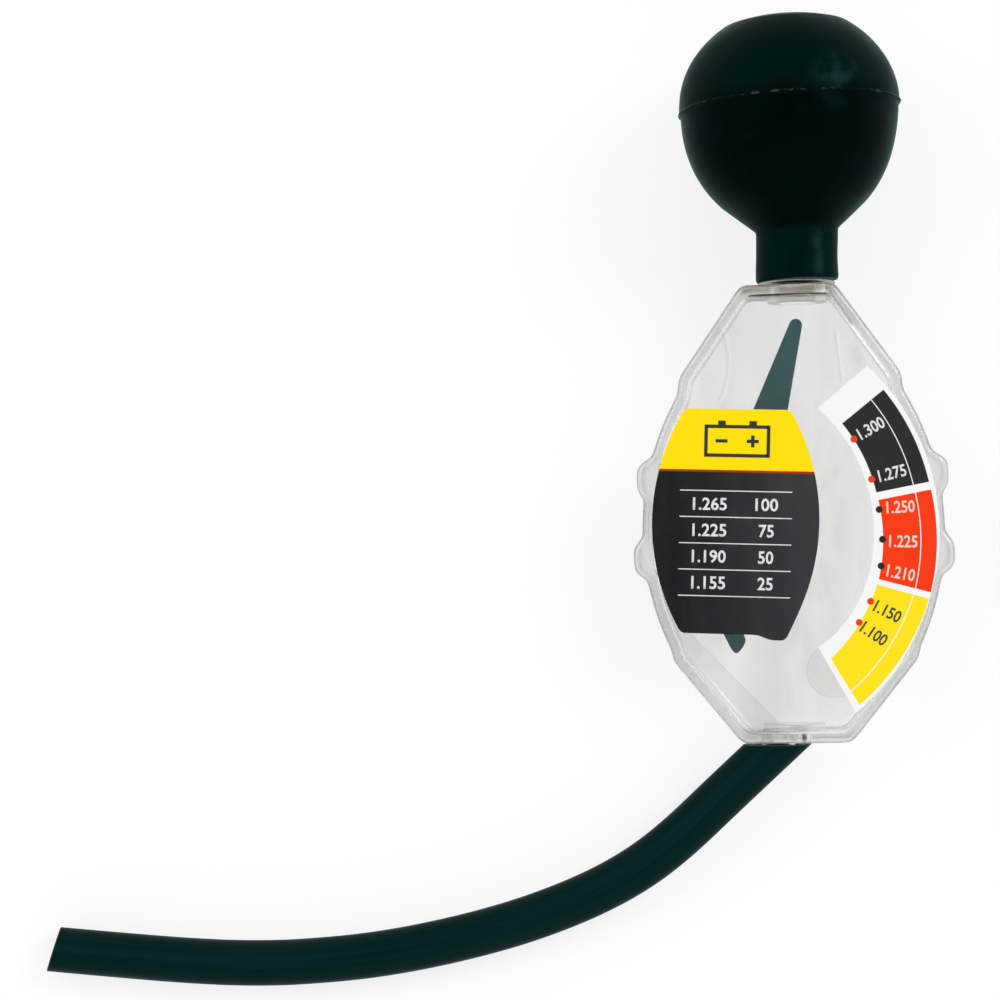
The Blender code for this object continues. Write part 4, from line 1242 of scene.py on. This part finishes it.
def barMesh(width, height):
    mesh = bpy.data.meshes.new("bar")
    corners = np.array([(-1, -1, 0), (1, -1, 0), (1, 1, 0), (-1, 1, 0)]) * (width / 2, height / 2, 1)
    mesh.from_pydata(corners.tolist(), [], [(0, 1, 2, 3)])
    return mesh


def inkPiece(name, marks, material):
    # One thin piece of all marks of one ink, each a flat mesh with its place and turn in the case's frame
    level = caseSizes["halfDepth"] + labelSizes["lift"] + labelSizes["thickness"] + labelSizes["inkLift"]
    shape = bmesh.new()
    for mark, x, y, turn in marks:
        mark.transform(Matrix.Translation((x, y, level)) @ Matrix.Rotation(turn, 4, "Z"))
        shape.from_mesh(mark)
        bpy.data.meshes.remove(mark)
    mesh = bpy.data.meshes.new(name)
    settle(shape, mesh)
    mesh.transform(Matrix.Translation(caseOrigin) @ caseTurn.to_4x4())
    piece = addObject(name, mesh)
    solidify = piece.modifiers.new("inkThickness", "SOLIDIFY")
    solidify.thickness = labelSizes["inkThickness"]
    solidify.offset = 0
    return dress(piece, material, "tool")


def inkMaterial(name, colour):
    shader = newMaterial(name, {"IOR": 1.5, "Specular IOR Level": 0.4})
    worn = noise(shader, 800, 4)
    darker = tuple(inkSizes["worn"] * part for part in colour)
    return paint(shader, worn.above(0.6, 0.15).blend(colour, darker), 0.28 + worn * 0.1)


def scaleNumbers(sizes, low, high):
    # Numbers whose dot's angle lies between low and high, each on its own sloping line
    marks = []
    for text, dotRing, dotAngle, ring, degrees, slope in sizes["marks"]:
        if low < dotAngle < high:
            place = onCircle(ring / 1000, math.radians(degrees)) + sizes["middle"]
            marks.append((textMesh(text, *sizes["numberSize"]), *place, math.radians(slope)))
    return marks


def onInfoLabel(mesh, x, y):
    # A mark at label coordinates, with the label's own turn
    return mesh, *onLabel(infoSizes, x, y), infoSizes["turn"]


def tableMarks(sizes):
    marks = []
    for row, texts in enumerate(sizes["tableRows"]):
        y = sizes["tableTop"] - row * sizes["tableStep"]
        for text, x in zip(texts, sizes["tableColumns"]):
            width = sizes["tableDigit"] * (len(text) - 0.5 * ("." in text))
            marks.append(onInfoLabel(textMesh(text, width, sizes["tableHeight"]), x, y))
        for edge in (0.5, -0.5) if row == 0 else (-0.5,):
            marks.append(onInfoLabel(barMesh(*sizes["rule"]), 0, y + edge * sizes["tableStep"]))
    return marks


def batterySign(sizes):
    # A box outline with two terminals, a minus and a plus
    (width, height), line = sizes["signSize"], sizes["signLine"]
    quarter = width / 4
    bars = []
    for side in (-1, 1):
        bars += [
            (width, line, 0, side * height / 2),
            (line, height + line, side * width / 2, 0),
            (2.2 * line, 1.2 * line, side * quarter, height / 2 + 1.1 * line),
            (3.4 * line, line, side * quarter, 0),
            (line, 1.2 * line, quarter, side * 1.1 * line),
        ]
    return [onInfoLabel(barMesh(wide, high), x, sizes["signY"] + up) for wide, high, x, up in bars]


whiteInk, paleInk, blackInk = (inkMaterial(f"{tone}Ink", inkSizes[tone]) for tone in ("white", "pale", "black"))
redLow, redHigh = scaleSizes["redZone"]
inkPiece("scaleNumbersHigh", scaleNumbers(scaleSizes, redHigh, 90), whiteInk)
inkPiece("scaleNumbersMiddle", scaleNumbers(scaleSizes, redLow, redHigh), paleInk)
inkPiece("scaleNumbersLow", scaleNumbers(scaleSizes, -90, redLow), blackInk)
inkPiece("tableNumbers", tableMarks(inkSizes), whiteInk)
inkPiece("batterySign", batterySign(inkSizes), blackInk)
print("numbers printed")

# Floor, lamps and surroundings
stageLooks = {
    "floorSize": 8.0,
    "floorColour": (0.97, 0.97, 0.97),
    "floorPale": (0.96, 0.96, 0.96),
    "floorWhite": 0.75,  # share of plain white in what the camera sees
    "floorFar": (0.9, 0.5),  # from the middle, where that share grows to 1, and over how much
    "skyLow": (1.0, 1.0, 1.0),
    "skyHigh": (0.4, 0.4, 0.4),
    "lamps": (  # place, size, power
        ((1.0, 0.55, 1.15), 0.7, 9.5),
        ((-1.0, 0.35, 1.1), 0.9, 5.5),
        ((0.1, -1.3, 0.9), 0.9, 4.0),
    ),
}


def makeFloor(looks):
    line = np.linspace(-looks["floorSize"] / 2, looks["floorSize"] / 2, 9)
    x, y = np.meshgrid(line, line, indexing="ij")
    mesh = bpy.data.meshes.new("floor")
    mesh.from_pydata(np.dstack([x, y, 0 * x]).reshape(-1, 3).tolist(), [], gridFaces(9, 9).tolist())
    shader = newMaterial("floorPaper", {"Roughness": 0.9, "Specular IOR Level": 0.1})
    mesh.materials.append(paint(shader, noise(shader, 30, 2).blend(looks["floorColour"], looks["floorPale"])))
    # The camera, directly or in gloss and through glass, sees the paper partly as plain white
    seen = shader.node("ShaderNodeLightPath")
    seen = seen.larger(seen.also("Is Glossy Ray")).larger(seen.also("Is Transmission Ray"))
    white = shader.node("ShaderNodeEmission", inputs={"Color": (1, 1, 1, 1), "Strength": 1.0})
    far = objectPlace(shader).vectorMaths("LENGTH").above(*looks["floorFar"])
    mixShaders(shader, seen * (looks["floorWhite"] + far * (1 - looks["floorWhite"])), white)
    addObject("floor", mesh)


def makeWorld(looks):
    # White round the horizon and darker overhead
    world = bpy.data.worlds.new("studio")
    world.use_nodes = True
    wire = Wire(world.node_tree)
    upwards = wire.node("ShaderNodeTexCoord").coordinate(2)
    background = world.node_tree.nodes["Background"]
    colour = upwards.above(0.6, 0.25).blend(looks["skyLow"], looks["skyHigh"])
    world.node_tree.links.new(colour.socket, background.inputs["Color"])
    background.inputs["Strength"].default_value = 1.0
    bpy.context.scene.world = world


def makeLamp(name, place, size, power):
    data = bpy.data.lights.new(name, "AREA")
    data.shape = "DISK"
    data.size = size
    data.energy = power
    lamp = addObject(name, data)
    lamp.location = place
    lamp.rotation_euler = (-Vector(place)).to_track_quat("-Z", "Y").to_euler()


makeFloor(stageLooks)
makeWorld(stageLooks)
for number, lamp in enumerate(stageLooks["lamps"]):
    makeLamp(f"lamp{number}", *lamp)
bpy.context.scene.view_settings.view_transform = "Standard"
print("stage lit")
